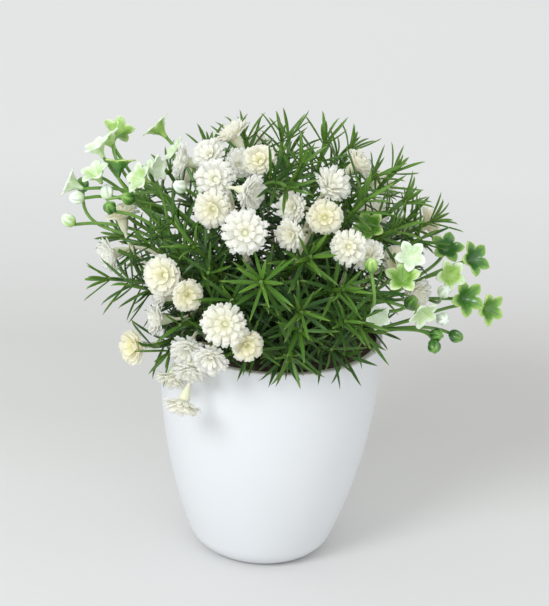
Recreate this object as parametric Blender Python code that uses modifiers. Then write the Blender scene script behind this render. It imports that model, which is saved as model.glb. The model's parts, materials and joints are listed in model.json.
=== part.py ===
# A small potted plant of moulded plastic: a turned pot, a plug of filler, leafy stems with
# whorls of narrow leaves, sprays of double white blooms and sprigs of star-shaped flowers.
# Metres, +Z up. The origin is the middle of the pot's flat base.

import math
import random

import bmesh
import bpy
import numpy as np
from mathutils import Matrix, Vector

MM = 0.001
UP = Vector((0.0, 0.0, 1.0))

# Pot
POT_HEIGHT = 0.1055
RIM_RADIUS = 0.050
FOOT_RADIUS = 0.0294
POT_BELLY = 2.24
FOOT_ROUNDING = 0.0046
FOOT_ROUNDING_HEIGHT = 0.009
POT_WALL = 0.0032
POT_FLOOR = 0.004
LIP_ROUNDING = 0.0008
TURN_STEPS = 28

# Filler, a plug wedged in the pot's taper, with a hole for each stem
FILLER_BOTTOM = 0.060
FILLER_EDGE = 0.1022
FILLER_CROWN = 0.0025
FILLER_HEIGHTS = (FILLER_BOTTOM, 0.5 * (FILLER_BOTTOM + FILLER_EDGE), FILLER_EDGE)
FIT_GAP = 0.0003
HOLE_RADIUS = 0.0018
HOLE_DEPTH = 0.012
HOLE_SPREAD = 0.0042
DRILL_OVERSHOOT = 0.005

# Stems, all with flat sides, so that a whorl of leaves or petals grows one from each side
SIDES = 5
LEAFY_STEM_RADIUS = 0.00105
BLOOM_STEM_RADIUS = 0.00085
STAR_STEM_RADIUS = 0.0010
STALK_RADIUS = 0.00075
STALK_STAGGER = 0.0011
STRAIGHT_RISE = 0.004
BEND_STEP = 0.0006
BEND_TRIES = 90
STEM_GAP = 0.0004
SETTLE_TRIES = 12
FORK_REACH = 0.58
FORK_HEIGHT = 0.52

# Leaves
TIER_SPACING = 0.0085
TIER_GROWTH = 1.45
LEAF_LENGTH = 0.0185
LEAF_HALF_WIDTH = 0.00105
LEAF_HALF_THICKNESS = 0.00036
LEAF_ROOT_HEIGHT = 0.0011
LEAF_MIDDLE = 0.4
LEAF_BOW = 0.03
LOW_LEAF_RISE = 30
TIER_RISE_STEP = -3
YOUNG_LEAF_RISE = 48
YOUNG_LEAF_LENGTH = 0.8 * LEAF_LENGTH
STEM_TIP = 0.0016
LEAF_TRIES = 14
LEAF_GAP = 0.00022

# Blooms
CALYX_LENGTH = 0.0062
CALYX_RADIUS = 0.0023
PETAL_HALF_THICKNESS = 0.00036
HEART_HEIGHT = 0.6
# Two tiers of petals: sideways turn, reach, rise in degrees, half width and level above the
# calyx; reach and width are shares of the bloom's radius.
PETAL_TIERS = ((0.0, 0.97, 18, 0.43, -0.0004), (0.22, 0.86, 44, 0.37, 0.0006))
# From stalk to heart: level along the facing and radius.
BLOOM_PROFILE = ((-CALYX_LENGTH, STALK_RADIUS), (-0.0016, CALYX_RADIUS), (0.0, CALYX_RADIUS),
                 (0.0015, 0.8 * CALYX_RADIUS))

# Star flowers and buds
STAR_TUBE = 0.0062
STAR_MOUTH = 0.0041
STAR_THROAT = 0.0032
LOBE_LIFT = 0.36
STAR_PROFILE = ((-STAR_TUBE, STALK_RADIUS), (-0.5 * STAR_TUBE, 0.42 * STAR_MOUTH),
                (-0.0011, 0.88 * STAR_MOUTH), (0.0, STAR_MOUTH))
BUD_LENGTH = 0.0070
BUD_RADIUS = 0.0029
BUD_PROFILE = ((-0.5 * BUD_LENGTH, 0.3 * BUD_RADIUS), (-0.2 * BUD_LENGTH, 0.95 * BUD_RADIUS),
               (0.2 * BUD_LENGTH, 0.9 * BUD_RADIUS))

# Leafy stems: where each tip stands, in millimetres, how many degrees its facing rises above
# the line from the middle of the pot, and how many tiers of leaves it bears.
LEAFY_TIPS = [
    (-1, 2, 196, 30, 3), (18, 12, 193, 20, 3), (8, -26, 194, 15, 3), (-17, 12, 192, 25, 3),
    (30, 16, 189, 15, 3), (40, -20, 189, 5, 3), (50, 12, 181, 5, 3), (55, -8, 174, 0, 3),
    (69, 8, 160, 0, 3), (-33, 18, 183, 10, 3), (-51, 20, 171, 5, 3), (3, -46, 190, 5, 3),
    (36, -42, 186, 0, 3), (50, -36, 171, 0, 3), (14, -62, 166, -5, 4), (29, -62, 152, -5, 4),
    (37, -56, 135, -10, 4), (-6, -72, 157, -8, 4), (12, -71, 144, -8, 4), (9, -66, 120, -25, 4),
    (-45, -43, 109, -30, 4), (-75, -12, 130, -10, 3), (-71, 13, 141, 0, 3), (-36, -44, 160, 0, 3),
    (56, -2, 140, -5, 3), (-30, 56, 146, 0, 3), (2, 48, 182, 5, 3), (30, 54, 154, 0, 3),
    (58, 40, 136, -5, 3), (-22, 34, 182, 10, 3),
]

# Flower sprays: for each bloom its place in millimetres, the compass direction and rise
# that it faces in degrees, and its radius in millimetres.
SPRAYS = [
    [(-21, -4, 196, 170, 52, 9.2), (-41, -4, 184, 185, 12, 8.8), (-31, -12, 190, -120, 38, 8.2),
     (-20, -12, 187, -60, 30, 7.6)],
    [(-28, -30, 186, -105, 28, 9.4), (-15, -42, 186, -35, 2, 8.8), (-28, -43, 178, -100, 8, 9.0),
     (-14, -60, 174, -92, 22, 10.6)],
    [(-69, -4, 155, 150, 72, 8.6), (-71, -8, 141, 205, -12, 8.8), (-47, -41, 145, -112, 18, 9.4),
     (-38, -53, 142, -70, 8, 7.6), (-48, -38, 123, 200, 2, 8.0), (-46, -35, 133, 190, 12, 7.6)],
    [(-58, -32, 107, 222, 5, 8.6), (-35, -51, 117, -105, -22, 8.6), (-34, -54, 109, -95, -42, 8.2),
     (-36, -58, 95, -115, -56, 9.2)],
    [(-20, -69, 136, -95, 14, 10.4), (-11, -68, 127, -75, 0, 7.6), (-25, -66, 120, -100, -20, 8.4)],
    [(20, -38, 188, -45, 50, 9.2), (19, -46, 178, -85, 18, 8.4), (7, -42, 180, -130, 15, 7.8),
     (7, -52, 172, -125, 2, 7.8)],
    [(30, -58, 170, -95, 16, 8.6), (39, -50, 162, -115, 52, 8.2), (51, -26, 151, -50, 35, 8.2),
     (60, -24, 138, -50, -8, 8.0)],
    [(65, 19, 153, 15, 15, 8.8), (40, 2, 163, -60, 40, 8.4)],
    [(-9, -18, 189, -110, 38, 7.8), (31, -3, 186, -10, 45, 8.0)],
    [(-14, 52, 172, 105, 25, 9.0), (-40, 42, 161, 130, 20, 8.6), (44, 40, 162, 60, 20, 8.6)],
]

# Star sprigs: flowers as place, facing and radius, then buds as place and facing.
SPRIGS = [
    {"stars": [(-74, 18, 189, 80, 18, 7.6), (-78, 10, 188, 165, 52, 6.4), (-82, 1, 187, 188, 58, 6.6),
               (-72, 0, 180, 95, 72, 7.6), (-82, -3, 176, 215, 56, 7.4), (-93, 1, 169, 178, 20, 7.4)],
     "buds": [(-88, 6, 167, 110, 72), (-75, -2, 166, 100, 60)]},
    {"stars": [(-62, -9, 177, 215, 28, 7.6)],
     "buds": [(-93, -5, 154, 185, 40), (-74, -18, 166, -110, 50)]},
    {"stars": [(-57, 26, 189, 165, 42, 7.8), (-48, 12, 183, 185, 38, 7.4)],
     "buds": [(-44, -19, 178, 220, 30)]},
    {"stars": [(86, -14, 151, -45, 30, 8.5), (75, 2, 149, -70, 52, 8.2), (76, -22, 146, -70, 16, 7.6),
               (84, -21, 135, -62, 22, 8.6)],
     "buds": [(72, -28, 140, -60, 40)]},
    {"stars": [(95, -14, 128, -50, 8, 8.0)],
     "buds": [(74, -32, 129, -70, 10), (72, -31, 121, -60, 10), (71, -35, 117, -80, -20),
              (81, -24, 118, -40, -5)]},
    {"stars": [(39, -30, 169, -110, 35, 7.4), (54, -49, 153.5, -95, 50, 8.2), (57, -44, 162, -90, 30, 7.2),
               (62, -38, 133, -60, -20, 7.6)],
     "buds": []},
    {"stars": [(-10, 72, 156, 95, 20, 8.0)],
     "buds": [(-24, 68, 146, 110, 10)]},
]

COLORS = {
    "pot": (0.83, 0.84, 0.85),
    "filler": (0.13, 0.10, 0.08),
    "leaf": (0.10, 0.22, 0.035),
    "bloom": (0.86, 0.87, 0.76),
    "star": (0.42, 0.60, 0.30),
}


def clear_scene():
    for thing in list(bpy.data.objects):
        bpy.data.objects.remove(thing, do_unlink=True)


def make_material(name, roughness):
    material = bpy.data.materials.new(name)
    material.use_nodes = True
    shader = material.node_tree.nodes["Principled BSDF"]
    shader.inputs["Base Color"].default_value = (*COLORS[name], 1.0)
    shader.inputs["Roughness"].default_value = roughness
    shader.inputs["Metallic"].default_value = 0.0
    return material


def make_collection(name):
    group = bpy.data.collections.new(name)
    bpy.context.scene.collection.children.link(group)
    return group


def make_object(name, bm, material, group):
    mesh = bpy.data.meshes.new(name)
    bm.to_mesh(mesh)
    bm.free()
    mesh.materials.append(material)
    thing = bpy.data.objects.new(name, mesh)
    group.objects.link(thing)
    return thing


def facing_vector(compass, rise):
    """A unit vector from a compass direction and a rise, both in degrees."""
    turn, lift = math.radians(compass), math.radians(rise)
    return Vector((math.cos(turn) * math.cos(lift), math.sin(turn) * math.cos(lift), math.sin(lift)))


# The pot and its filler

def pot_radius(height):
    """Outer radius of the pot: a belly that fills out fast above a rounded foot."""
    rise = min(height / POT_HEIGHT, 1.0)
    wall = FOOT_RADIUS + (RIM_RADIUS - FOOT_RADIUS) * (1 - (1 - rise) ** POT_BELLY)
    return wall - FOOT_ROUNDING * max(0.0, 1 - height / FOOT_ROUNDING_HEIGHT) ** 3


def turned(name, profile, material, group):
    """A solid of revolution from a profile of (radius, height) that runs down its outer side."""
    bm = bmesh.new()
    verts = [bm.verts.new((radius, 0.0, height)) for radius, height in profile]
    for low, high in zip(verts, verts[1:]):
        bm.edges.new((low, high))
    thing = make_object(name, bm, material, group)
    screw = thing.modifiers.new("turn", "SCREW")
    screw.steps = TURN_STEPS
    screw.render_steps = TURN_STEPS
    screw.use_merge_vertices = True
    screw.merge_threshold = 0.00001
    return thing


def make_pot(material, group):
    inner = [(0.0, POT_FLOOR)]
    for height in (POT_FLOOR, 0.5 * FILLER_BOTTOM) + FILLER_HEIGHTS:
        inner.append((pot_radius(height) - POT_WALL, height))
    lip = [(RIM_RADIUS - POT_WALL, POT_HEIGHT - LIP_ROUNDING),
           (RIM_RADIUS - POT_WALL + LIP_ROUNDING, POT_HEIGHT),
           (RIM_RADIUS - LIP_ROUNDING, POT_HEIGHT)]
    outer = []
    for share in (0.99, 0.72, 0.48, 0.3, 0.17, 0.08, 0.03):
        height = POT_HEIGHT * share
        outer.append((pot_radius(height), height))
    base = [(pot_radius(0.0), 0.0), (0.0, 0.0)]
    turned("pot", inner + lip + outer + base, material, group)


def filler_height(radius):
    """Height of the filler's slightly crowned top."""
    return FILLER_EDGE + FILLER_CROWN * (1 - (radius / RIM_RADIUS) ** 2)


def filler_radius(height):
    return pot_radius(height) - POT_WALL - FIT_GAP


def make_filler(sites, material, group, cutters):
    edge = filler_radius(FILLER_EDGE)
    middle = 0.5 * edge
    profile = [(0.0, filler_height(0.0)), (middle, filler_height(middle))]
    profile += [(filler_radius(height), height) for height in reversed(FILLER_HEIGHTS)]
    profile.append((0.0, FILLER_BOTTOM))
    filler = turned("filler", profile, material, group)
    bm = bmesh.new()
    for site in sites:
        foot = filler_height(math.hypot(*site)) - HOLE_DEPTH
        reach = HOLE_DEPTH + DRILL_OVERSHOOT
        place = Matrix.Translation((site[0], site[1], foot + 0.5 * reach))
        bmesh.ops.create_cone(bm, cap_ends=True, segments=SIDES, radius1=HOLE_RADIUS,
                              radius2=HOLE_RADIUS, depth=reach, matrix=place)
    drill = make_object("stem_holes", bm, material, cutters)
    drill.hide_render = True
    drill.display_type = "WIRE"
    cut = filler.modifiers.new("stem holes", "BOOLEAN")
    cut.operation = "DIFFERENCE"
    cut.object = drill


# Room: what is placed so far, kept as thick lines, so that the next piece is bent clear of it

def line_distance(p1, q1, p2, q2):
    """Shortest distances between lines p1-q1 and p2-q2, as arrays of end points."""
    d1, d2, r = q1 - p1, q2 - p2, p1 - p2
    a = np.maximum((d1 * d1).sum(-1), 1e-12)
    e = np.maximum((d2 * d2).sum(-1), 1e-12)
    b, c, f = (d1 * d2).sum(-1), (d1 * r).sum(-1), (d2 * r).sum(-1)
    spread = np.maximum(a * e - b * b, 1e-18)
    s = np.clip((b * f - c * e) / spread, 0, 1)
    t = np.clip((b * s + f) / e, 0, 1)
    s = np.clip((b * t - c) / a, 0, 1)
    gap = r + s[..., None] * d1 - t[..., None] * d2
    return np.sqrt((gap * gap).sum(-1))


class Room:
    def __init__(self):
        self.starts = np.empty((0, 3))
        self.ends = np.empty((0, 3))
        self.radii = np.empty(0)
        self.owners = np.empty(0, dtype=int)
        self.tags = np.empty(0, dtype=int)

    def add(self, lines, owner, tag=0):
        """Keep lines, each two ends and a radius, for the node that owns them."""
        self.starts = np.vstack([self.starts, [tuple(a) for a, b, r in lines]])
        self.ends = np.vstack([self.ends, [tuple(b) for a, b, r in lines]])
        self.radii = np.append(self.radii, [r for a, b, r in lines])
        self.owners = np.append(self.owners, [owner] * len(lines))
        self.tags = np.append(self.tags, [tag] * len(lines))

    def gap(self, lines, owner, tag=None):
        """Smallest gap from the lines to other nodes, and to other tags of the same node."""
        others = self.owners != owner
        if tag is not None:
            others = others | ((self.tags != tag) & (self.tags != 0))
        if not others.any():
            return 1.0
        starts, ends, radii = self.starts[others], self.ends[others], self.radii[others]
        p = np.array([tuple(a) for a, b, r in lines])[:, None]
        q = np.array([tuple(b) for a, b, r in lines])[:, None]
        own = np.array([r for a, b, r in lines])[:, None]
        return float((line_distance(p, q, starts[None], ends[None]) - radii[None] - own).min())


def clear_of_pot(lines):
    """True where no line comes near the pot's wall, the filler or the floor below."""
    for start, end, radius in lines:
        for share in (0.0, 0.25, 0.5, 0.75, 1.0):
            spot = start.lerp(end, share)
            if spot.z > POT_HEIGHT + radius + FIT_GAP:
                continue
            across = math.hypot(spot.x, spot.y)
            if across > pot_radius(spot.z) + radius + 2 * FIT_GAP:
                continue
            inside = across < pot_radius(spot.z) - POT_WALL - radius - FIT_GAP
            if inside and spot.z > filler_height(across) + radius + FIT_GAP:
                continue
            return False
    return True


def chain(points, radius):
    return [(a, b, radius) for a, b in zip(points, points[1:])]


# Routes

def bezier(p0, p1, p2, p3, count):
    points = []
    for i in range(count):
        t = i / (count - 1)
        u = 1 - t
        points.append(p0 * u ** 3 + p1 * (3 * u * u * t) + p2 * (3 * u * t * t) + p3 * t ** 3)
    return points


def bend_clear(room, owner, start, rise, tip, facing, radius, rng, count=5, trace=None):
    """A curve from start to tip, swayed as little as keeps it clear, or what is traced along it.

    What is traced starts with the foot in its hole, which needs no test."""
    span = (tip - start).length
    for attempt in range(BEND_TRIES):
        slack = attempt * BEND_STEP
        sway = Vector([rng.uniform(-slack, slack) for _ in range(3)])
        twist = Vector([rng.uniform(-slack, slack) for _ in range(3)])
        points = bezier(start, start + rise * (0.4 * span) + 0.6 * sway,
                        tip - facing * (0.34 * span) + twist, tip, count)
        traced = trace(points) if trace else points
        lines = chain(traced, radius)[1 if trace else 0:]
        if clear_of_pot(lines) and room.gap(lines, owner) > STEM_GAP:
            return traced
    raise RuntimeError(f"no clear way for stem {owner}")


def hole_sites(count):
    """Places for the holes, on a sunflower spiral round the middle of the filler."""
    golden = math.pi * (3 - math.sqrt(5))
    return [(HOLE_SPREAD * math.sqrt(i + 0.5) * math.cos(i * golden),
             HOLE_SPREAD * math.sqrt(i + 0.5) * math.sin(i * golden)) for i in range(count)]


def assign_sites(targets, sites):
    """Give each stem the free hole that lies best below its target, widest reach first."""
    free = list(sites)
    outermost = max(math.hypot(*site) for site in sites)
    widest = max(math.hypot(t.x, t.y) for t in targets)
    chosen = [None] * len(targets)
    for i in sorted(range(len(targets)), key=lambda i: -math.hypot(targets[i].x, targets[i].y)):
        wish = targets[i] * (outermost / widest)
        chosen[i] = min(free, key=lambda s: (s[0] - wish.x) ** 2 + (s[1] - wish.y) ** 2)
        free.remove(chosen[i])
    return chosen


def hole_foot(site):
    """Where a stem's foot stands in its hole, and where it starts to bend above the filler."""
    top = filler_height(math.hypot(*site))
    return (Vector((site[0], site[1], top - HOLE_DEPTH + FIT_GAP)),
            Vector((site[0], site[1], top + STRAIGHT_RISE)))


# Skinning

def path_frames(points):
    """Two cross axes at each point of a path, turned as little as possible on the way."""
    frames = []
    side = Vector((1.0, 0.0, 0.0))
    for i, point in enumerate(points):
        before = points[max(i - 1, 0)]
        after = points[min(i + 1, len(points) - 1)]
        along = (after - before).normalized()
        side = (side - along * side.dot(along)).normalized()
        frames.append((along, side, along.cross(side)))
    return frames


def ring(center, side, other, radius, twist=0.0):
    corners = []
    for j in range(SIDES):
        angle = 2 * math.pi * j / SIDES + twist
        corners.append(center + side * (radius * math.cos(angle)) + other * (radius * math.sin(angle)))
    return corners


def loft(bm, rings, tip=None):
    """Skin rings of corners as one closed body, blunt at its start and blunt or pointed at its end."""
    rows = [[bm.verts.new(corner) for corner in corners] for corners in rings]
    bands = []
    for low, high in zip(rows, rows[1:]):
        after = [(j + 1) % len(low) for j in range(len(low))]
        bands.append([bm.faces.new((low[j], low[k], high[k], high[j])) for j, k in enumerate(after)])
    bm.faces.new(list(reversed(rows[0])))
    end = bm.faces.new(rows[-1])
    if tip is not None:
        point_out(bm, end, tip)
    return bands


def point_out(bm, face, tip):
    """Raise a face to a point."""
    made = bmesh.ops.poke(bm, faces=[face])
    made["verts"][0].co = tip


def pull_out(bm, face, corners):
    """Pull a face out to four new corners and return it there."""
    made = bmesh.ops.extrude_discrete_faces(bm, faces=[face])
    face = made["faces"][0]
    for vert, corner in zip(face.verts, corners):
        vert.co = corner
    return face


def blade_corners(center, across, through, half_width, half_thickness):
    wide, thick = across * half_width, through * half_thickness
    return [center - wide - thick, center + wide - thick, center + wide + thick, center - wide + thick]


# Leafy stems

def measure_path(points):
    """A path's length, and a function that gives the point at a length along it."""
    lengths = [0.0]
    for a, b in zip(points, points[1:]):
        lengths.append(lengths[-1] + (b - a).length)

    def at(length):
        length = min(max(length, 0.0), lengths[-1])
        i = max(k for k in range(len(points) - 1) if lengths[k] <= length + 1e-9)
        share = (length - lengths[i]) / (lengths[i + 1] - lengths[i])
        return points[i].lerp(points[i + 1], share)

    return lengths[-1], at


def leafy_stations(points, tiers):
    """The rings of a leafy stem: bare rings low down, then a pair of rings for each tier."""
    total, at = measure_path(points)
    levels = [total - LEAF_ROOT_HEIGHT]
    for step in range(tiers - 1):
        levels.insert(0, levels[0] - TIER_SPACING * TIER_GROWTH ** step)
    straight = (points[1] - points[0]).length
    marks = [(0.0, None), (straight, None), (0.5 * (straight + levels[0]), None)]
    for tier in range(tiers):
        marks.append((levels[tier] - LEAF_ROOT_HEIGHT, tier))
        marks.append((levels[tier], tier))
    stations = []
    for length, tier in marks:
        along = (at(length + MM) - at(length - MM)).normalized()
        stations.append({"center": at(length), "along": along, "tier": tier})
    side = Vector((1.0, 0.0, 0.0))
    for station in stations:
        along = station["along"]
        side = (side - along * side.dot(along)).normalized()
        station["side"], station["other"] = side, along.cross(side)
        station["twist"] = (station["tier"] or 0) * math.pi / SIDES
    return stations


def leaf_shape(root, radial, along, rise, length, swing):
    """Root, middle and tip of a leaf, with its width and thickness axes."""
    across = along.cross(radial)
    aim = (radial * math.cos(rise) + along * math.sin(rise) + across * swing).normalized()
    wide = (across - aim * across.dot(aim)).normalized()
    thick = aim.cross(wide)
    middle = root + aim * (LEAF_MIDDLE * length) + thick * (LEAF_BOW * length)
    return {"root": root, "middle": middle, "tip": root + aim * length, "wide": wide, "thick": thick}


def leaf_lines(leaf):
    """A leaf as three thick lines, from a little off its root to its tip."""
    width = LEAF_HALF_WIDTH
    start = leaf["root"].lerp(leaf["middle"], 0.25)
    later = leaf["middle"].lerp(leaf["tip"], 0.5)
    return [(start, leaf["middle"], 0.95 * width), (leaf["middle"], later, 0.85 * width),
            (later, leaf["tip"], 0.5 * width)]


def place_leaves(room, owner, stations, tiers, rng):
    """Try each leaf at a few rises and lengths and keep the first that is clear."""
    leaves = []
    for tier in range(tiers):
        low, high = [s for s in stations if s["tier"] == tier]
        center = (low["center"] + high["center"]) / 2
        top = tier == tiers - 1
        rise = math.radians(YOUNG_LEAF_RISE if top else LOW_LEAF_RISE + TIER_RISE_STEP * tier)
        size = YOUNG_LEAF_LENGTH if top else LEAF_LENGTH
        for j in range(SIDES):
            angle = 2 * math.pi * (j + 0.5) / SIDES + low["twist"]
            radial = low["side"] * math.cos(angle) + low["other"] * math.sin(angle)
            root = center + radial * (LEAFY_STEM_RADIUS * math.cos(math.pi / SIDES))
            for attempt in range(LEAF_TRIES):
                loose = 0.10 + 0.045 * attempt
                length = size * rng.uniform(0.9, 1.08) * (1 - 0.035 * attempt)
                leaf = leaf_shape(root, radial, low["along"], rise + rng.uniform(-loose, loose),
                                  length, rng.uniform(-loose, loose))
                lines = leaf_lines(leaf)
                if clear_of_pot(lines) and room.gap(lines, owner, tier + 1) > LEAF_GAP:
                    room.add(lines, owner, tier + 1)
                    leaf["tier"], leaf["face"], leaf["young"] = tier, j, top
                    leaves.append(leaf)
                    break
    return leaves


def make_leafy_stem(name, stations, leaves, material, group):
    bm = bmesh.new()
    rings = [ring(s["center"], s["side"], s["other"], LEAFY_STEM_RADIUS, s["twist"])
             for s in stations]
    last = stations[-1]
    bands = loft(bm, rings, last["center"] + last["along"] * STEM_TIP)
    tiers = {}
    for i, (low, high) in enumerate(zip(stations, stations[1:])):
        if low["tier"] is not None and low["tier"] == high["tier"]:
            tiers[low["tier"]] = bands[i]
    for leaf in leaves:
        face = tiers[leaf["tier"]][leaf["face"]]
        if leaf["young"]:
            point_out(bm, face, leaf["tip"])
            continue
        corners = blade_corners(leaf["middle"], leaf["wide"], leaf["thick"],
                                LEAF_HALF_WIDTH, LEAF_HALF_THICKNESS)
        blade = pull_out(bm, face, corners)
        keel = leaf["middle"] - leaf["thick"] * LEAF_HALF_THICKNESS
        bmesh.ops.pointmerge(bm, verts=blade.verts[:2], merge_co=keel)
        point_out(bm, blade, leaf["tip"])
    return make_object(name, bm, material, group)


# Blooms, stars and buds: each is one body with the stalk that it ends

def flower_axes(facing):
    side = facing.orthogonal().normalized()
    return side, facing.cross(side)


def petal_ends(head):
    """End, width and thickness axes of every petal of a bloom, tier by tier."""
    side, other = flower_axes(head["facing"])
    petals = []
    for tier, (turn, reach, rise, width, level) in enumerate(PETAL_TIERS):
        for j in range(SIDES):
            angle = 2 * math.pi * (j + 0.5) / SIDES + turn
            radial = side * math.cos(angle) + other * math.sin(angle)
            lift = math.radians(rise)
            aim = radial * math.cos(lift) + head["facing"] * math.sin(lift)
            across = head["facing"].cross(radial)
            end = head["place"] + head["facing"] * level + aim * (head["size"] * reach)
            petals.append({"tier": tier, "face": j, "end": end, "across": across,
                           "through": aim.cross(across), "half": head["size"] * width})
    return petals


def bloom_lines(head):
    """A bloom as thick lines: each petal's neck and its two sides, and the calyx."""
    lines = []
    for petal in petal_ends(head):
        inner = head["place"].lerp(petal["end"], 0.45)
        lines.append((head["place"], inner, CALYX_RADIUS))
        for shift in (-0.5, 0.5):
            spot = petal["end"] + petal["across"] * (shift * petal["half"])
            lines.append((inner, spot, 0.55 * petal["half"]))
    lines.append((head["place"] - head["facing"] * CALYX_LENGTH, head["place"], 0.6 * CALYX_RADIUS))
    lines.append((head["place"] - head["facing"] * (0.4 * CALYX_LENGTH), head["place"], CALYX_RADIUS))
    return lines


def stalk_rings(points, radius):
    return [ring(point, side, other, radius)
            for point, (along, side, other) in zip(points, path_frames(points))]


def head_rings(head, points, steps):
    """Rings up a stalk and through its flower, and how many sides the flower's order is turned."""
    rings = stalk_rings(points, STALK_RADIUS)[:-1]
    facing = head["facing"]
    side, other = flower_axes(facing)
    carried = path_frames(points)[-1][1]
    share = 2 * math.pi / SIDES
    offset = round(math.atan2(carried.dot(other), carried.dot(side)) / share)
    for level, radius in steps:
        rings.append(ring(head["place"] + facing * level, side, other, radius, offset * share))
    return rings, offset


def add_bloom(bm, head, points):
    """A stalk that widens to a calyx and bears two tiers of petals round a pointed heart."""
    rings, offset = head_rings(head, points, BLOOM_PROFILE)
    bands = loft(bm, rings, head["place"] + head["facing"] * (HEART_HEIGHT * head["size"]))
    for petal in petal_ends(head):
        face = bands[petal["tier"] - 2][(petal["face"] - offset) % SIDES]
        pull_out(bm, face, blade_corners(petal["end"], petal["across"], petal["through"],
                                         petal["half"], PETAL_HALF_THICKNESS))


def star_lobe(head, number):
    """Direction and tip of one of a star's five lobes."""
    side, other = flower_axes(head["facing"])
    angle = 2 * math.pi * (number + 0.5) / SIDES
    radial = side * math.cos(angle) + other * math.sin(angle)
    return radial, head["place"] + radial * head["size"] + head["facing"] * (LOBE_LIFT * head["size"])


def star_lines(head):
    """A star as thick lines: two for each lobe, the tube and its flare."""
    lines = []
    for j in range(SIDES):
        radial, tip = star_lobe(head, j)
        inner = head["place"] + radial * (0.5 * STAR_MOUTH)
        middle = inner.lerp(tip, 0.55)
        lines.append((inner, middle, 0.45 * STAR_MOUTH))
        lines.append((middle, tip, 0.22 * STAR_MOUTH))
    place, back = head["place"], -head["facing"]
    lines.append((place + back * STAR_TUBE, place, 0.4 * STAR_MOUTH))
    lines.append((place + back * (0.5 * STAR_TUBE), place, 0.8 * STAR_MOUTH))
    return lines


def add_star(bm, head, points):
    """A stalk that widens to a trumpet with five pointed lobes and a sunk throat."""
    rings, offset = head_rings(head, points, STAR_PROFILE)
    bands = loft(bm, rings, head["place"] - head["facing"] * STAR_THROAT)
    for j, face in enumerate(bands[-1]):
        point_out(bm, face, star_lobe(head, j + offset)[1])


def bud_lines(head):
    half = head["facing"] * (0.5 * BUD_LENGTH)
    return [(head["place"] - half, head["place"] + half, BUD_RADIUS)]


def add_bud(bm, head, points):
    """A stalk that ends in a plump closed bud."""
    rings, offset = head_rings(head, points, BUD_PROFILE)
    loft(bm, rings, head["place"] + head["facing"] * (0.55 * BUD_LENGTH))


KINDS = {
    "bloom": {"lines": bloom_lines, "add": add_bloom, "neck": CALYX_LENGTH},
    "star": {"lines": star_lines, "add": add_star, "neck": STAR_TUBE},
    "bud": {"lines": bud_lines, "add": add_bud, "neck": 0.5 * BUD_LENGTH},
}


def make_head(kind, x, y, z, compass, rise, size=0.0):
    return {"kind": kind, "place": Vector((x, y, z)) * MM, "facing": facing_vector(compass, rise),
            "size": size * MM}


def settle_head(room, owner, head):
    """Move a flower outward in small steps until it is clear of the other nodes' flowers."""
    outward = (head["place"] - Vector((0.0, 0.0, POT_HEIGHT))).normalized()
    for step in range(SETTLE_TRIES):
        if room.gap(KINDS[head["kind"]]["lines"](head), owner) > STEM_GAP:
            break
        head["place"] = head["place"] + outward * MM
    room.add(KINDS[head["kind"]]["lines"](head), owner)


def bunch_fork(heads, bend):
    """Where the stalks of a bunch leave its stem: below and inside the flowers."""
    middle = sum((head["place"] for head in heads), Vector()) / len(heads)
    height = bend.z + FORK_HEIGHT * (middle.z - bend.z)
    return Vector((middle.x * FORK_REACH, middle.y * FORK_REACH, height))


def route_bunch(room, owner, heads, site, stem_radius, rng):
    """The stem of a bunch and the stalk of each of its flowers, all bent clear."""
    foot, bend = hole_foot(site)
    fork = bunch_fork(heads, bend)
    lean = (fork - bend).normalized()
    stem = bend_clear(room, owner, bend, UP, fork, lean, stem_radius, rng,
                      trace=lambda points: [foot] + points)
    room.add(chain(stem, stem_radius), owner)
    stalks = []
    for number, head in enumerate(heads):
        start = fork - lean * (STALK_STAGGER * (number + 0.5))
        neck = head["place"] - head["facing"] * KINDS[head["kind"]]["neck"]
        leave = (neck - start).normalized() * 0.6 + lean * 0.4
        stalk = bend_clear(room, owner, start, leave, neck, head["facing"], STALK_RADIUS, rng, 3)
        room.add(chain(stalk, STALK_RADIUS), owner)
        stalks.append(stalk)
    return {"stem": stem, "stalks": stalks, "heads": heads}


def keep_largest_shell(mesh):
    """Fill the hollows and drop the scraps that fusing leaves, which are shells of their own."""
    bm = bmesh.new()
    bm.from_mesh(mesh)
    unseen = set(bm.faces)
    shells = []
    while unseen:
        shell, front = set(), [unseen.pop()]
        while front:
            face = front.pop()
            shell.add(face)
            near = {other for edge in face.edges for other in edge.link_faces} & unseen
            unseen -= near
            front.extend(near)
        shells.append(shell)
    largest = max(shells, key=len)
    spare = [face for face in bm.faces if face not in largest]
    bmesh.ops.delete(bm, geom=spare, context="FACES")
    bm.to_mesh(mesh)
    bm.free()


def join_bodies(name, bodies, material, group):
    """Fuse overlapping bodies into one with a Boolean union on their collection."""
    first, rest = bodies[0], bodies[1:]
    pieces = make_collection(name + "_pieces")
    for bm in rest:
        make_object(name + "_piece", bm, material, pieces)
    whole = make_object(name, first, material, group)
    union = whole.modifiers.new("union", "BOOLEAN")
    union.operation = "UNION"
    union.solver = "MANIFOLD"
    union.operand_type = "COLLECTION"
    union.collection = pieces
    bpy.context.view_layer.update()
    graph = bpy.context.evaluated_depsgraph_get()
    joined = bpy.data.meshes.new_from_object(whole.evaluated_get(graph))
    whole.modifiers.clear()
    keep_largest_shell(joined)
    whole.data = joined
    for piece in list(pieces.objects):
        bpy.data.objects.remove(piece, do_unlink=True)
    bpy.data.collections.remove(pieces)
    return whole


def make_bunch(name, bunch, stem_radius, material, group):
    stem_body = bmesh.new()
    loft(stem_body, stalk_rings(bunch["stem"], stem_radius))
    bodies = [stem_body]
    for head, stalk in zip(bunch["heads"], bunch["stalks"]):
        body = bmesh.new()
        KINDS[head["kind"]]["add"](body, head, stalk)
        bodies.append(body)
    return join_bodies(name, bodies, material, group)


# The whole plant

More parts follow.
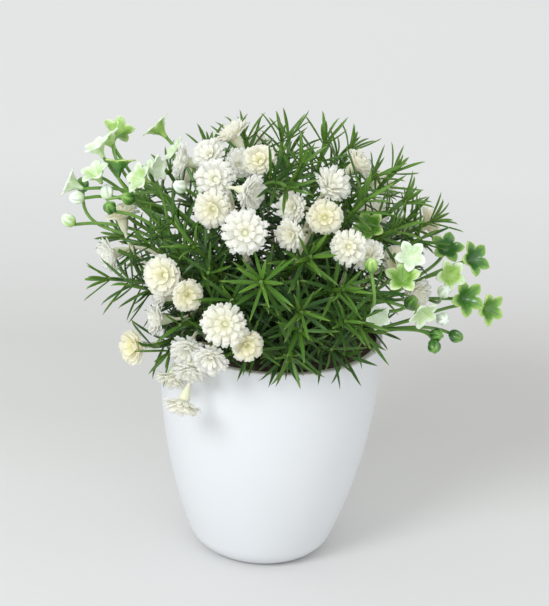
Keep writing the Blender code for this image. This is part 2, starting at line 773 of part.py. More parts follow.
def plan_bunches():
    bunches = [[make_head("bloom", *bloom) for bloom in spray] for spray in SPRAYS]
    for sprig in SPRIGS:
        heads = [make_head("star", *star) for star in sprig["stars"]]
        heads += [make_head("bud", *bud) for bud in sprig["buds"]]
        bunches.append(heads)
    return bunches


def plan_leafy():
    tips = []
    for x, y, z, lift, tiers in LEAFY_TIPS:
        tip = Vector((x, y, z)) * MM
        compass = math.degrees(math.atan2(tip.y, tip.x))
        across = math.hypot(tip.x, tip.y)
        rise = math.degrees(math.atan2(tip.z - POT_HEIGHT, across)) * 0.8 + lift
        tips.append((tip, facing_vector(compass, min(rise, 88)), tiers))
    return tips


def route_leafy(room, owner, site, tip, facing, tiers, rng):
    """The rings of a leafy stem, on a curve bent clear."""
    foot, bend = hole_foot(site)
    stations = []

    def trace(points):
        stations[:] = leafy_stations([foot] + points, tiers)
        return [station["center"] for station in stations]

    line = bend_clear(room, owner, bend, UP, tip, facing, LEAFY_STEM_RADIUS, rng, 9, trace)
    room.add(chain(line, LEAFY_STEM_RADIUS), owner)
    return stations


def build():
    clear_scene()
    plant = make_collection("potted_plant")
    cutters = make_collection("cutters")
    materials = {"pot": make_material("pot", 0.32), "filler": make_material("filler", 0.9),
                 "leaf": make_material("leaf", 0.42), "bloom": make_material("bloom", 0.6),
                 "star": make_material("star", 0.5)}

    room = Room()
    bunches = plan_bunches()
    leafy = plan_leafy()
    for owner, heads in enumerate(bunches):
        for head in heads:
            settle_head(room, owner, head)
    middles = [sum((head["place"] for head in heads), Vector()) / len(heads) for heads in bunches]
    sites = hole_sites(len(bunches) + len(leafy))
    chosen = assign_sites(middles + [tip for tip, facing, tiers in leafy], sites)

    make_pot(materials["pot"], plant)
    make_filler(sites, materials["filler"], plant, cutters)
    for owner, heads in enumerate(bunches):
        spray = owner < len(SPRAYS)
        radius = BLOOM_STEM_RADIUS if spray else STAR_STEM_RADIUS
        bunch = route_bunch(room, owner, heads, chosen[owner], radius, random.Random(100 + owner))
        name = f"flower_spray_{owner + 1:02d}" if spray else f"star_sprig_{owner + 1 - len(SPRAYS):02d}"
        make_bunch(name, bunch, radius, materials["bloom" if spray else "star"], plant)

    stems = []
    for number, (tip, facing, tiers) in enumerate(leafy):
        owner = len(bunches) + number
        rng = random.Random(500 + number)
        stations = route_leafy(room, owner, chosen[owner], tip, facing, tiers, rng)
        stems.append((owner, stations, tiers, rng))
    for number, (owner, stations, tiers, rng) in enumerate(stems):
        leaves = place_leaves(room, owner, stations, tiers, rng)
        make_leafy_stem(f"leafy_stem_{number + 1:02d}", stations, leaves, materials["leaf"], plant)


build()
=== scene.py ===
import json
import math
import random

import bmesh
import bpy
import numpy as np
from mathutils import Vector, noise
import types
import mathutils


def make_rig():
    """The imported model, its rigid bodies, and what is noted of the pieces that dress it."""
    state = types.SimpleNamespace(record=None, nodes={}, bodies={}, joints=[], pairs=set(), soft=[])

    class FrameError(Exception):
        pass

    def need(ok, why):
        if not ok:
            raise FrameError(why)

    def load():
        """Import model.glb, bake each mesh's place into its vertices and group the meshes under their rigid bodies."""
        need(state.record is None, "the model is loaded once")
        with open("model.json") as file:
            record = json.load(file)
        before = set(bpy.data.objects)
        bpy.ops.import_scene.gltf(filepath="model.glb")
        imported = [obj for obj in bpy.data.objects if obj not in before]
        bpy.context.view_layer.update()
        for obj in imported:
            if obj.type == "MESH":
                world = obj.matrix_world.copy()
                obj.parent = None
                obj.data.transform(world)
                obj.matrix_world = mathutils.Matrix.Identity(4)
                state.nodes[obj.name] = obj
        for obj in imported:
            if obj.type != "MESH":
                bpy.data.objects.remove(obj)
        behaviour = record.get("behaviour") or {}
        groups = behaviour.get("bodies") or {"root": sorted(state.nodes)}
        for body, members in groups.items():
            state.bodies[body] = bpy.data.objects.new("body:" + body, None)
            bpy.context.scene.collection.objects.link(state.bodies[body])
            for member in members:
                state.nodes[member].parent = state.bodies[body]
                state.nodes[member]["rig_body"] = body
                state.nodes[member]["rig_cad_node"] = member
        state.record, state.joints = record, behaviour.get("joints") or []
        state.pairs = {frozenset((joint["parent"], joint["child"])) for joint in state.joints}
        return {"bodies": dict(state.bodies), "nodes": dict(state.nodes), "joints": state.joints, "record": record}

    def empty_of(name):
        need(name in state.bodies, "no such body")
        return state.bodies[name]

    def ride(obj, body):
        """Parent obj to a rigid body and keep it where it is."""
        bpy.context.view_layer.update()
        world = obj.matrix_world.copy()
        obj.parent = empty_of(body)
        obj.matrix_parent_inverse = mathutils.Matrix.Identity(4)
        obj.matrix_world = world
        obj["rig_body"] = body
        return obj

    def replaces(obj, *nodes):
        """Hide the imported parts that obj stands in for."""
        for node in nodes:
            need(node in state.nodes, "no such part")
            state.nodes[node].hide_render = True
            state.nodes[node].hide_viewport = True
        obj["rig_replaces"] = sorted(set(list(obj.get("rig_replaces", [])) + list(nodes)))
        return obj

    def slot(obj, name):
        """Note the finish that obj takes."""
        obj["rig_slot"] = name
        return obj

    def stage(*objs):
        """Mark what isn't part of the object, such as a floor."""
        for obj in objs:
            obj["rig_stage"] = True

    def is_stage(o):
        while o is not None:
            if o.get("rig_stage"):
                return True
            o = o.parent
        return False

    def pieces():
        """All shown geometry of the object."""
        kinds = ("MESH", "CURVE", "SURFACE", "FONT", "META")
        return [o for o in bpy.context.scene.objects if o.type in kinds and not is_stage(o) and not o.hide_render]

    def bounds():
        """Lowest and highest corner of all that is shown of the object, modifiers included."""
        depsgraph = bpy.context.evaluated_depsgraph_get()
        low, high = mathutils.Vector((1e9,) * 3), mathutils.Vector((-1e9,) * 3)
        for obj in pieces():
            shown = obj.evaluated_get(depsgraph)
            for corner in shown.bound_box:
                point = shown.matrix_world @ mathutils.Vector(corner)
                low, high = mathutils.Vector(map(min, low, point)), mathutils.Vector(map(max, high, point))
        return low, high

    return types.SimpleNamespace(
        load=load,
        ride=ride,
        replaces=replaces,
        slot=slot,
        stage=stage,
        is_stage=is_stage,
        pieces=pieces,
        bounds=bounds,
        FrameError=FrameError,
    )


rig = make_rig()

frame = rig.load()
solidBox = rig.bounds()
print("frame:", len(frame["nodes"]), "nodes")

mm = 0.001
up = Vector((0.0, 0.0, 1.0))


# A socket whose operators add Math nodes, and the board that it is on

class Wire:
    def __init__(self, board, socket):
        self.board = board
        self.socket = socket

    def math(self, operation, first, second=0.0):
        return self.board.add("ShaderNodeMath", {"operation": operation}, {0: first, 1: second})

    def __add__(self, other):
        return self.math("ADD", self, other)

    def __radd__(self, other):
        return self.math("ADD", other, self)

    def __sub__(self, other):
        return self.math("SUBTRACT", self, other)

    def __rsub__(self, other):
        return self.math("SUBTRACT", other, self)

    def __mul__(self, other):
        return self.math("MULTIPLY", self, other)

    def __rmul__(self, other):
        return self.math("MULTIPLY", other, self)

    def size(self):
        return self.math("ABSOLUTE", self)

    def wave(self):
        return self.math("SINE", self)

    def within(self, low, high):
        # 0 at low, 1 at high, eased in between
        return self.board.add("ShaderNodeMapRange", {"interpolation_type": "SMOOTHSTEP"},
                              {0: self, 1: low, 2: high})


class Board:
    def __init__(self, tree):
        self.tree = tree

    def add(self, kind, settings=None, values=None, out=0):
        node = self.tree.nodes.new(kind)
        for key, value in (settings or {}).items():
            if key == "stops":
                fillRamp(node.color_ramp, value)
            else:
                setattr(node, key, value)
        for key, value in (values or {}).items():
            if isinstance(value, Wire):
                self.tree.links.new(value.socket, node.inputs[key])
            else:
                node.inputs[key].default_value = value
        return Wire(self, node.outputs[out])

    def mix(self, factor, first, second):
        return self.add("ShaderNodeMix", {"data_type": "RGBA"}, {0: factor, 6: first, 7: second}, 2)

    def attribute(self, name):
        return self.add("ShaderNodeAttribute", {"attribute_name": name}, out=2)

    def place(self):
        return self.add("ShaderNodeTexCoord", out=3)

    def noise(self, scale, detail=3.0, roughness=0.5):
        return self.add("ShaderNodeTexNoise", {},
                        {0: self.place(), 2: scale, 3: detail, 4: roughness})

    def height(self):
        return self.add("ShaderNodeSeparateXYZ", {}, {0: self.place()}, 2)

    def bump(self, height, strength, distance):
        return self.add("ShaderNodeBump", {}, {0: strength, 1: distance, 3: height})

    def ramp(self, factor, stops):
        return self.add("ShaderNodeValToRGB", {"stops": stops}, {0: factor})


def fillRamp(ramp, stops):
    while len(ramp.elements) < len(stops):
        ramp.elements.new(0.5)
    for element, (position, color) in zip(ramp.elements, stops):
        element.position = position
        element.color = color


def color(red, green, blue):
    # screen values 0-255 to the shader's linear ones
    parts = [(c / 255 + 0.055) / 1.055 for c in (red, green, blue)]
    return tuple(c ** 2.4 if c > 0.0903 else c * 1.055 / 12.92 for c in parts) + (1.0,)


def newMaterial(name, values):
    # values name sockets of the shader; returns the board and the shader node
    material = bpy.data.materials.new(name)
    material.use_nodes = True
    shader = material.node_tree.nodes["Principled BSDF"]
    for key, value in values.items():
        shader.inputs[key].default_value = value
    return material, Board(material.node_tree), shader


def feed(board, shader, **wires):
    names = {"baseColor": "Base Color", "roughness": "Roughness", "normal": "Normal",
             "coat": "Coat Weight"}
    for key, wire in wires.items():
        board.tree.links.new(wire.socket, shader.inputs[names[key]])


# Geometry Nodes trees

def newTree(name, inputs):
    tree = bpy.data.node_groups.new(name, "GeometryNodeTree")
    tree.interface.new_socket("Geometry", in_out="INPUT", socket_type="NodeSocketGeometry")
    for label, kind in inputs:
        tree.interface.new_socket(label, in_out="INPUT", socket_type="NodeSocket" + kind)
    tree.interface.new_socket("Geometry", in_out="OUTPUT", socket_type="NodeSocketGeometry")
    board = Board(tree)
    source = tree.nodes.new("NodeGroupInput")
    wires = {socket.name: Wire(board, socket) for socket in source.outputs if socket.name}
    return board, wires


def closeTree(board, geometry, material):
    made = board.add("GeometryNodeRealizeInstances", {}, {0: geometry})
    made = board.add("GeometryNodeSetShadeSmooth", {}, {0: made})
    made = board.add("GeometryNodeSetMaterial", {}, {0: made, 2: material})
    result = board.tree.nodes.new("NodeGroupOutput")
    board.tree.links.new(made.socket, result.inputs[0])
    return board.tree


def scatterTree():
    # puts a shape of the collection on every point, by the point's own axes, size and kind
    board, wires = newTree("scatterShapes", [("Shapes", "Collection"), ("Size", "Float"),
                                             ("Finish", "Material")])

    def named(name, kind):
        return board.add("GeometryNodeInputNamedAttribute", {"data_type": kind}, {0: name})

    shapes = board.add("GeometryNodeCollectionInfo", {}, {0: wires["Shapes"], 1: True, 2: True})
    turn = board.add("FunctionNodeAxesToRotation", {"primary_axis": "Z", "secondary_axis": "X"},
                     {0: named("aim", "FLOAT_VECTOR"), 1: named("wide", "FLOAT_VECTOR")})
    scale = board.add("ShaderNodeVectorMath", {"operation": "SCALE"},
                      {0: named("spread", "FLOAT_VECTOR"), 3: wires["Size"]})
    made = board.add("GeometryNodeInstanceOnPoints", {},
                     {0: wires["Geometry"], 2: shapes, 3: True, 4: named("kind", "INT"),
                      5: turn, 6: scale})
    return closeTree(board, made, wires["Finish"])


def tubeTree():
    # skins every line of the mesh, as thick as its points say
    board, wires = newTree("skinPaths", [("Sides", "Int"), ("Thickness", "Float"),
                                         ("Finish", "Material")])
    curve = board.add("GeometryNodeMeshToCurve", {}, {0: wires["Geometry"]})
    circle = board.add("GeometryNodeCurvePrimitiveCircle", {}, {0: wires["Sides"], 4: 1.0})
    thick = board.add("GeometryNodeInputNamedAttribute", {"data_type": "FLOAT"}, {0: "thick"})
    made = board.add("GeometryNodeCurveToMesh", {},
                     {0: curve, 1: circle, 2: thick * wires["Thickness"], 3: True})
    return closeTree(board, made, wires["Finish"])


def addObject(name, data):
    thing = bpy.data.objects.new(name, data)
    bpy.context.scene.collection.objects.link(thing)
    return thing


def closeMesh(bm, name, smooth=False):
    for face in bm.faces:
        face.smooth = smooth
    mesh = bpy.data.meshes.new(name)
    bm.to_mesh(mesh)
    bm.free()
    return mesh


def setAttribute(mesh, name, kind, values):
    layer = mesh.attributes.new(name, kind, "POINT")
    field = "vector" if kind == "FLOAT_VECTOR" else "value"
    layer.data.foreach_set(field, np.array(values, dtype=int if kind == "INT" else float).ravel())


def runTree(name, mesh, tree, inputs):
    # a finished piece: the mesh put through the tree and made plain
    seed = addObject(name + "Seed", mesh)
    modifier = seed.modifiers.new("nodes", "NODES")
    modifier.node_group = tree
    for item in tree.interface.items_tree:
        if item.in_out == "INPUT" and item.name in inputs:
            modifier[item.identifier] = inputs[item.name]
    bpy.context.view_layer.update()
    graph = bpy.context.evaluated_depsgraph_get()
    made = bpy.data.meshes.new_from_object(seed.evaluated_get(graph),
                                           preserve_all_data_layers=True, depsgraph=graph)
    seed.modifiers.clear()
    bpy.data.objects.remove(seed)
    return finishPiece(name, made)


def finishPiece(name, mesh, material=None):
    mesh.name = name
    if material:
        mesh.materials.append(material)
    thing = addObject(name, mesh)
    print("piece:", name, sum(len(p.vertices) - 2 for p in mesh.polygons), "triangles")
    return thing


def handOver(piece, nodes, slot):
    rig.ride(piece, "root")
    if nodes:
        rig.replaces(piece, *nodes)
    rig.slot(piece, slot)


# The layout: where every stem, leaf and flower is, worked out as the solids' own source does it

pot = {
    "height": 0.1055, "rim": 0.050, "foot": 0.0294, "belly": 2.24,
    "footRounding": 0.0046, "footRoundingHeight": 0.009, "wall": 0.0032, "floor": 0.004,
    "lipRounding": 0.0008, "steps": 160,
}
filler = {"bottom": 0.060, "edge": 0.1022, "crown": 0.0025, "gap": 0.0003}
stems = {
    "sides": 5, "leafy": 0.00105, "bloom": 0.00085, "star": 0.0010, "stalk": 0.00075,
    "stagger": 0.0011, "holeDepth": 0.012, "holeSpread": 0.0042, "straightRise": 0.004,
    "bendStep": 0.0006, "bendTries": 90, "gap": 0.0004, "settleTries": 12,
    "forkReach": 0.58, "forkHeight": 0.52,
}
leaf = {
    "spacing": 0.0085, "growth": 1.45, "length": 0.0185, "halfWidth": 0.00105, "rootHeight": 0.0011,
    "middle": 0.4, "bow": 0.03, "lowRise": 30, "riseStep": -3, "youngRise": 48, "youngShare": 0.8,
    "tries": 14, "gap": 0.00022,
}
bloom = {"calyxLength": 0.0062, "calyxRadius": 0.0023}
solidPetals = ((0.0, 0.97, 18, 0.43, -0.0004), (0.22, 0.86, 44, 0.37, 0.0006))
star = {"tube": 0.0062, "mouth": 0.0041, "lobeLift": 0.36}
bud = {"length": 0.0070, "radius": 0.0029}

# leafy stems: tip in millimetres, lift of its facing in degrees, tiers of leaves
leafyTips = [
    (-1, 2, 196, 30, 3), (18, 12, 193, 20, 3), (8, -26, 194, 15, 3), (-17, 12, 192, 25, 3),
    (30, 16, 189, 15, 3), (40, -20, 189, 5, 3), (50, 12, 181, 5, 3), (55, -8, 174, 0, 3),
    (69, 8, 160, 0, 3), (-33, 18, 183, 10, 3), (-51, 20, 171, 5, 3), (3, -46, 190, 5, 3),
    (36, -42, 186, 0, 3), (50, -36, 171, 0, 3), (14, -62, 166, -5, 4), (29, -62, 152, -5, 4),
    (37, -56, 135, -10, 4), (-6, -72, 157, -8, 4), (12, -71, 144, -8, 4), (9, -66, 120, -25, 4),
    (-45, -43, 109, -30, 4), (-75, -12, 130, -10, 3), (-71, 13, 141, 0, 3), (-36, -44, 160, 0, 3),
    (56, -2, 140, -5, 3), (-30, 56, 146, 0, 3), (2, 48, 182, 5, 3), (30, 54, 154, 0, 3),
    (58, 40, 136, -5, 3), (-22, 34, 182, 10, 3),
]

# blooms of each spray: place in millimetres, compass and rise of the facing, radius
sprays = [
    [(-21, -4, 196, 170, 52, 9.2), (-41, -4, 184, 185, 12, 8.8), (-31, -12, 190, -120, 38, 8.2),
     (-20, -12, 187, -60, 30, 7.6)],
    [(-28, -30, 186, -105, 28, 9.4), (-15, -42, 186, -35, 2, 8.8), (-28, -43, 178, -100, 8, 9.0),
     (-14, -60, 174, -92, 22, 10.6)],
    [(-69, -4, 155, 150, 72, 8.6), (-71, -8, 141, 205, -12, 8.8), (-47, -41, 145, -112, 18, 9.4),
     (-38, -53, 142, -70, 8, 7.6), (-48, -38, 123, 200, 2, 8.0), (-46, -35, 133, 190, 12, 7.6)],
    [(-58, -32, 107, 222, 5, 8.6), (-35, -51, 117, -105, -22, 8.6), (-34, -54, 109, -95, -42, 8.2),
     (-36, -58, 95, -115, -56, 9.2)],
    [(-20, -69, 136, -95, 14, 10.4), (-11, -68, 127, -75, 0, 7.6), (-25, -66, 120, -100, -20, 8.4)],
    [(20, -38, 188, -45, 50, 9.2), (19, -46, 178, -85, 18, 8.4), (7, -42, 180, -130, 15, 7.8),
     (7, -52, 172, -125, 2, 7.8)],
    [(30, -58, 170, -95, 16, 8.6), (39, -50, 162, -115, 52, 8.2), (51, -26, 151, -50, 35, 8.2),
     (60, -24, 138, -50, -8, 8.0)],
    [(65, 19, 153, 15, 15, 8.8), (40, 2, 163, -60, 40, 8.4)],
    [(-9, -18, 189, -110, 38, 7.8), (31, -3, 186, -10, 45, 8.0)],
    [(-14, 52, 172, 105, 25, 9.0), (-40, 42, 161, 130, 20, 8.6), (44, 40, 162, 60, 20, 8.6)],
]

# flowers and buds of each sprig
sprigs = [
    {"stars": [(-74, 18, 189, 80, 18, 7.6), (-78, 10, 188, 165, 52, 6.4),
               (-82, 1, 187, 188, 58, 6.6), (-72, 0, 180, 95, 72, 7.6),
               (-82, -3, 176, 215, 56, 7.4), (-93, 1, 169, 178, 20, 7.4)],
     "buds": [(-88, 6, 167, 110, 72), (-75, -2, 166, 100, 60)]},
    {"stars": [(-62, -9, 177, 215, 28, 7.6)],
     "buds": [(-93, -5, 154, 185, 40), (-74, -18, 166, -110, 50)]},
    {"stars": [(-57, 26, 189, 165, 42, 7.8), (-48, 12, 183, 185, 38, 7.4)],
     "buds": [(-44, -19, 178, 220, 30)]},
    {"stars": [(86, -14, 151, -45, 30, 8.5), (75, 2, 149, -70, 52, 8.2),
               (76, -22, 146, -70, 16, 7.6), (84, -21, 135, -62, 22, 8.6)],
     "buds": [(72, -28, 140, -60, 40)]},
    {"stars": [(95, -14, 128, -50, 8, 8.0)],
     "buds": [(74, -32, 129, -70, 10), (72, -31, 121, -60, 10), (71, -35, 117, -80, -20),
              (81, -24, 118, -40, -5)]},
    {"stars": [(39, -30, 169, -110, 35, 7.4), (54, -49, 153.5, -95, 50, 8.2),
               (57, -44, 162, -90, 30, 7.2), (62, -38, 133, -60, -20, 7.6)],
     "buds": []},
    {"stars": [(-10, 72, 156, 95, 20, 8.0)],
     "buds": [(-24, 68, 146, 110, 10)]},
]


def facingVector(compass, rise):
    turn, lift = math.radians(compass), math.radians(rise)
    return Vector((math.cos(turn) * math.cos(lift), math.sin(turn) * math.cos(lift),
                   math.sin(lift)))


def around(side, other, angle):
    return side * math.cos(angle) + other * math.sin(angle)


def potRadius(height):
    rise = min(height / pot["height"], 1.0)
    wall = pot["foot"] + (pot["rim"] - pot["foot"]) * (1 - (1 - rise) ** pot["belly"])
    return wall - pot["footRounding"] * max(0.0, 1 - height / pot["footRoundingHeight"]) ** 3


def fillerHeight(radius):
    return filler["edge"] + filler["crown"] * (1 - (radius / pot["rim"]) ** 2)


def lineDistance(p1, q1, p2, q2):
    d1, d2, r = q1 - p1, q2 - p2, p1 - p2
    a = np.maximum((d1 * d1).sum(-1), 1e-12)
    e = np.maximum((d2 * d2).sum(-1), 1e-12)
    b, c, f = (d1 * d2).sum(-1), (d1 * r).sum(-1), (d2 * r).sum(-1)
    spread = np.maximum(a * e - b * b, 1e-18)
    s = np.clip((b * f - c * e) / spread, 0, 1)
    t = np.clip((b * s + f) / e, 0, 1)
    s = np.clip((b * t - c) / a, 0, 1)
    gap = r + s[..., None] * d1 - t[..., None] * d2
    return np.sqrt((gap * gap).sum(-1))


class Room:
    # what is placed so far, as thick lines
    def __init__(self):
        self.starts = np.empty((0, 3))
        self.ends = np.empty((0, 3))
        self.radii = np.empty(0)
        self.owners = np.empty(0, dtype=int)
        self.tags = np.empty(0, dtype=int)

    def add(self, lines, owner, tag=0):
        self.starts = np.vstack([self.starts, [tuple(a) for a, b, r in lines]])
        self.ends = np.vstack([self.ends, [tuple(b) for a, b, r in lines]])
        self.radii = np.append(self.radii, [r for a, b, r in lines])
        self.owners = np.append(self.owners, [owner] * len(lines))
        self.tags = np.append(self.tags, [tag] * len(lines))

    def gapTo(self, lines, others):
        if not others.any():
            return 1.0
        starts, ends, radii = self.starts[others], self.ends[others], self.radii[others]
        p = np.array([tuple(a) for a, b, r in lines])[:, None]
        q = np.array([tuple(b) for a, b, r in lines])[:, None]
        own = np.array([r for a, b, r in lines])[:, None]
        return float((lineDistance(p, q, starts[None], ends[None]) - radii[None] - own).min())

    def gap(self, lines, owner, tag=None):
        others = self.owners != owner
        if tag is not None:
            others = others | ((self.tags != tag) & (self.tags != 0))
        return self.gapTo(lines, others)


def clearOfPot(lines):
    gap = filler["gap"]
    for start, end, radius in lines:
        for share in (0.0, 0.25, 0.5, 0.75, 1.0):
            spot = start.lerp(end, share)
            if spot.z > pot["height"] + radius + gap:
                continue
            across = math.hypot(spot.x, spot.y)
            if across > potRadius(spot.z) + radius + 2 * gap:
                continue
            inside = across < potRadius(spot.z) - pot["wall"] - radius - gap
            if inside and spot.z > fillerHeight(across) + radius + gap:
                continue
            return False
    return True


def chain(points, radius):
    return [(a, b, radius) for a, b in zip(points, points[1:])]


def bezier(p0, p1, p2, p3, count):
    points = []
    for i in range(count):
        t = i / (count - 1)
        u = 1 - t
        points.append(p0 * u ** 3 + p1 * (3 * u * u * t) + p2 * (3 * u * t * t) + p3 * t ** 3)
    return points


def bendClear(room, owner, start, rise, tip, facing, radius, rng, count=5, trace=None):
    # returns what is traced along the curve, and the curve's four handles
    span = (tip - start).length
    for attempt in range(stems["bendTries"]):
        slack = attempt * stems["bendStep"]
        sway = Vector([rng.uniform(-slack, slack) for _ in range(3)])
        twist = Vector([rng.uniform(-slack, slack) for _ in range(3)])
        handles = (start, start + rise * (0.4 * span) + 0.6 * sway,
                   tip - facing * (0.34 * span) + twist, tip)
        points = bezier(*handles, count)
        traced = trace(points) if trace else points
        lines = chain(traced, radius)[1 if trace else 0:]
        if clearOfPot(lines) and room.gap(lines, owner) > stems["gap"]:
            return traced, handles
    raise RuntimeError(f"no clear way for stem {owner}")


def holeSites(count):
    golden = math.pi * (3 - math.sqrt(5))
    spread = stems["holeSpread"]
    return [(spread * math.sqrt(i + 0.5) * math.cos(i * golden),
             spread * math.sqrt(i + 0.5) * math.sin(i * golden)) for i in range(count)]


def assignSites(targets, sites):
    free = list(sites)
    outermost = max(math.hypot(*site) for site in sites)
    widest = max(math.hypot(t.x, t.y) for t in targets)
    chosen = [None] * len(targets)
    for i in sorted(range(len(targets)), key=lambda i: -math.hypot(targets[i].x, targets[i].y)):
        wish = targets[i] * (outermost / widest)
        chosen[i] = min(free, key=lambda s: (s[0] - wish.x) ** 2 + (s[1] - wish.y) ** 2)
        free.remove(chosen[i])
    return chosen


def holeFoot(site):
    top = fillerHeight(math.hypot(*site))
    return (Vector((site[0], site[1], top - stems["holeDepth"] + filler["gap"])),
            Vector((site[0], site[1], top + stems["straightRise"])))


def measurePath(points):
    lengths = [0.0]
    for a, b in zip(points, points[1:]):
        lengths.append(lengths[-1] + (b - a).length)

    def at(length):
        length = min(max(length, 0.0), lengths[-1])
        i = max(k for k in range(len(points) - 1) if lengths[k] <= length + 1e-9)
        share = (length - lengths[i]) / (lengths[i + 1] - lengths[i])
        return points[i].lerp(points[i + 1], share)

    return lengths[-1], at


def leafyStations(points, tiers):
    total, at = measurePath(points)
    levels = [total - leaf["rootHeight"]]
    for step in range(tiers - 1):
        levels.insert(0, levels[0] - leaf["spacing"] * leaf["growth"] ** step)
    straight = (points[1] - points[0]).length
    marks = [(0.0, None), (straight, None), (0.5 * (straight + levels[0]), None)]
    for tier in range(tiers):
        marks.append((levels[tier] - leaf["rootHeight"], tier))
        marks.append((levels[tier], tier))
    stations = []
    for length, tier in marks:
        along = (at(length + mm) - at(length - mm)).normalized()
        stations.append({"center": at(length), "along": along, "tier": tier, "length": length})
    side = Vector((1.0, 0.0, 0.0))
    for station in stations:
        along = station["along"]
        side = (side - along * side.dot(along)).normalized()
        station["side"], station["other"] = side, along.cross(side)
        station["twist"] = (station["tier"] or 0) * math.pi / stems["sides"]
    return stations


def leafShape(root, radial, along, rise, length, swing):
    across = along.cross(radial)
    aim = (radial * math.cos(rise) + along * math.sin(rise) + across * swing).normalized()
    wide = (across - aim * across.dot(aim)).normalized()
    thick = aim.cross(wide)
    middle = root + aim * (leaf["middle"] * length) + thick * (leaf["bow"] * length)
    return {"root": root, "middle": middle, "tip": root + aim * length, "wide": wide,
            "aim": aim, "length": length}


def leafLines(shape):
    width = leaf["halfWidth"]
    start = shape["root"].lerp(shape["middle"], 0.25)
    later = shape["middle"].lerp(shape["tip"], 0.5)
    return [(start, shape["middle"], 0.95 * width), (shape["middle"], later, 0.85 * width),
            (later, shape["tip"], 0.5 * width)]


def placeLeaves(room, owner, stations, tiers, rng):
    sides = stems["sides"]
    placed = []
    for tier in range(tiers):
        low, high = [s for s in stations if s["tier"] == tier]
        center = (low["center"] + high["center"]) / 2
        top = tier == tiers - 1
        rise = math.radians(leaf["youngRise"] if top else leaf["lowRise"] + leaf["riseStep"] * tier)
        size = leaf["length"] * (leaf["youngShare"] if top else 1.0)
        for j in range(sides):
            angle = 2 * math.pi * (j + 0.5) / sides + low["twist"]
            radial = around(low["side"], low["other"], angle)
            root = center + radial * (stems["leafy"] * math.cos(math.pi / sides))
            for attempt in range(leaf["tries"]):
                loose = 0.10 + 0.045 * attempt
                length = size * rng.uniform(0.9, 1.08) * (1 - 0.035 * attempt)
                shape = leafShape(root, radial, low["along"], rise + rng.uniform(-loose, loose),
                                  length, rng.uniform(-loose, loose))
                lines = leafLines(shape)
                if clearOfPot(lines) and room.gap(lines, owner, tier + 1) > leaf["gap"]:
                    room.add(lines, owner, tier + 1)
                    shape["young"] = top
                    placed.append(shape)
                    break
    return placed


def flowerAxes(facing):
    side = facing.orthogonal().normalized()
    return side, facing.cross(side)


def bloomLines(head):
    side, other = flowerAxes(head["facing"])
    facing, place, size = head["facing"], head["place"], head["size"]
    calyx = bloom["calyxRadius"]
    lines = []
    for turn, reach, rise, width, level in solidPetals:
        for j in range(stems["sides"]):
            angle = 2 * math.pi * (j + 0.5) / stems["sides"] + turn
            radial = around(side, other, angle)
            lift = math.radians(rise)
            aim = radial * math.cos(lift) + facing * math.sin(lift)
            end = place + facing * level + aim * (size * reach)
            inner = place.lerp(end, 0.45)
            lines.append((place, inner, calyx))
            for shift in (-0.5, 0.5):
                spot = end + facing.cross(radial) * (shift * size * width)
                lines.append((inner, spot, 0.55 * size * width))
    lines.append((place - facing * bloom["calyxLength"], place, 0.6 * calyx))
    lines.append((place - facing * (0.4 * bloom["calyxLength"]), place, calyx))
    return lines


def starLines(head):
    side, other = flowerAxes(head["facing"])
    place, facing, size, mouth = head["place"], head["facing"], head["size"], star["mouth"]
    lines = []
    for j in range(stems["sides"]):
        angle = 2 * math.pi * (j + 0.5) / stems["sides"]
        radial = around(side, other, angle)
        tip = place + radial * size + facing * (star["lobeLift"] * size)
        inner = place + radial * (0.5 * mouth)
        middle = inner.lerp(tip, 0.55)
        lines.append((inner, middle, 0.45 * mouth))
        lines.append((middle, tip, 0.22 * mouth))
    lines.append((place - facing * star["tube"], place, 0.4 * mouth))
    lines.append((place - facing * (0.5 * star["tube"]), place, 0.8 * mouth))
    return lines


def budLines(head):
    half = head["facing"] * (0.5 * bud["length"])
    return [(head["place"] - half, head["place"] + half, bud["radius"])]


headLines = {"bloom": bloomLines, "star": starLines, "bud": budLines}
necks = {"bloom": bloom["calyxLength"], "star": star["tube"], "bud": 0.5 * bud["length"]}


def makeHead(kind, x, y, z, compass, rise, size=0.0):
    return {"kind": kind, "place": Vector((x, y, z)) * mm, "facing": facingVector(compass, rise),
            "size": size * mm}


def settleHead(room, owner, head):
    outward = (head["place"] - Vector((0.0, 0.0, pot["height"]))).normalized()
    for step in range(stems["settleTries"]):
        if room.gap(headLines[head["kind"]](head), owner) > stems["gap"]:
            break
        head["place"] = head["place"] + outward * mm
    room.add(headLines[head["kind"]](head), owner)


def middleOf(heads):
    return sum((head["place"] for head in heads), Vector()) / len(heads)


def stalkEnds(fork, lean, number, head):
    start = fork - lean * (stems["stagger"] * (number + 0.5))
    neck = head["place"] - head["facing"] * necks[head["kind"]]
    return start, (neck - start).normalized() * 0.6 + lean * 0.4, neck


def routeBunch(room, owner, heads, site, radius, rng):
    foot, bend = holeFoot(site)
    middle = middleOf(heads)
    reach = stems["forkReach"]
    fork = Vector((middle.x * reach, middle.y * reach,
                   bend.z + stems["forkHeight"] * (middle.z - bend.z)))
    lean = (fork - bend).normalized()
    stem, handles = bendClear(room, owner, bend, up, fork, lean, radius, rng,
                              trace=lambda points: [foot] + points)
    room.add(chain(stem, radius), owner)
    stalks = []
    for number, head in enumerate(heads):
        start, leave, neck = stalkEnds(fork, lean, number, head)
        stalk, bends = bendClear(room, owner, start, leave, neck, head["facing"], stems["stalk"],
                                 rng, 3)
        room.add(chain(stalk, stems["stalk"]), owner)
        stalks.append(bends)
    return {"foot": foot, "stem": handles, "stalks": stalks, "heads": heads}


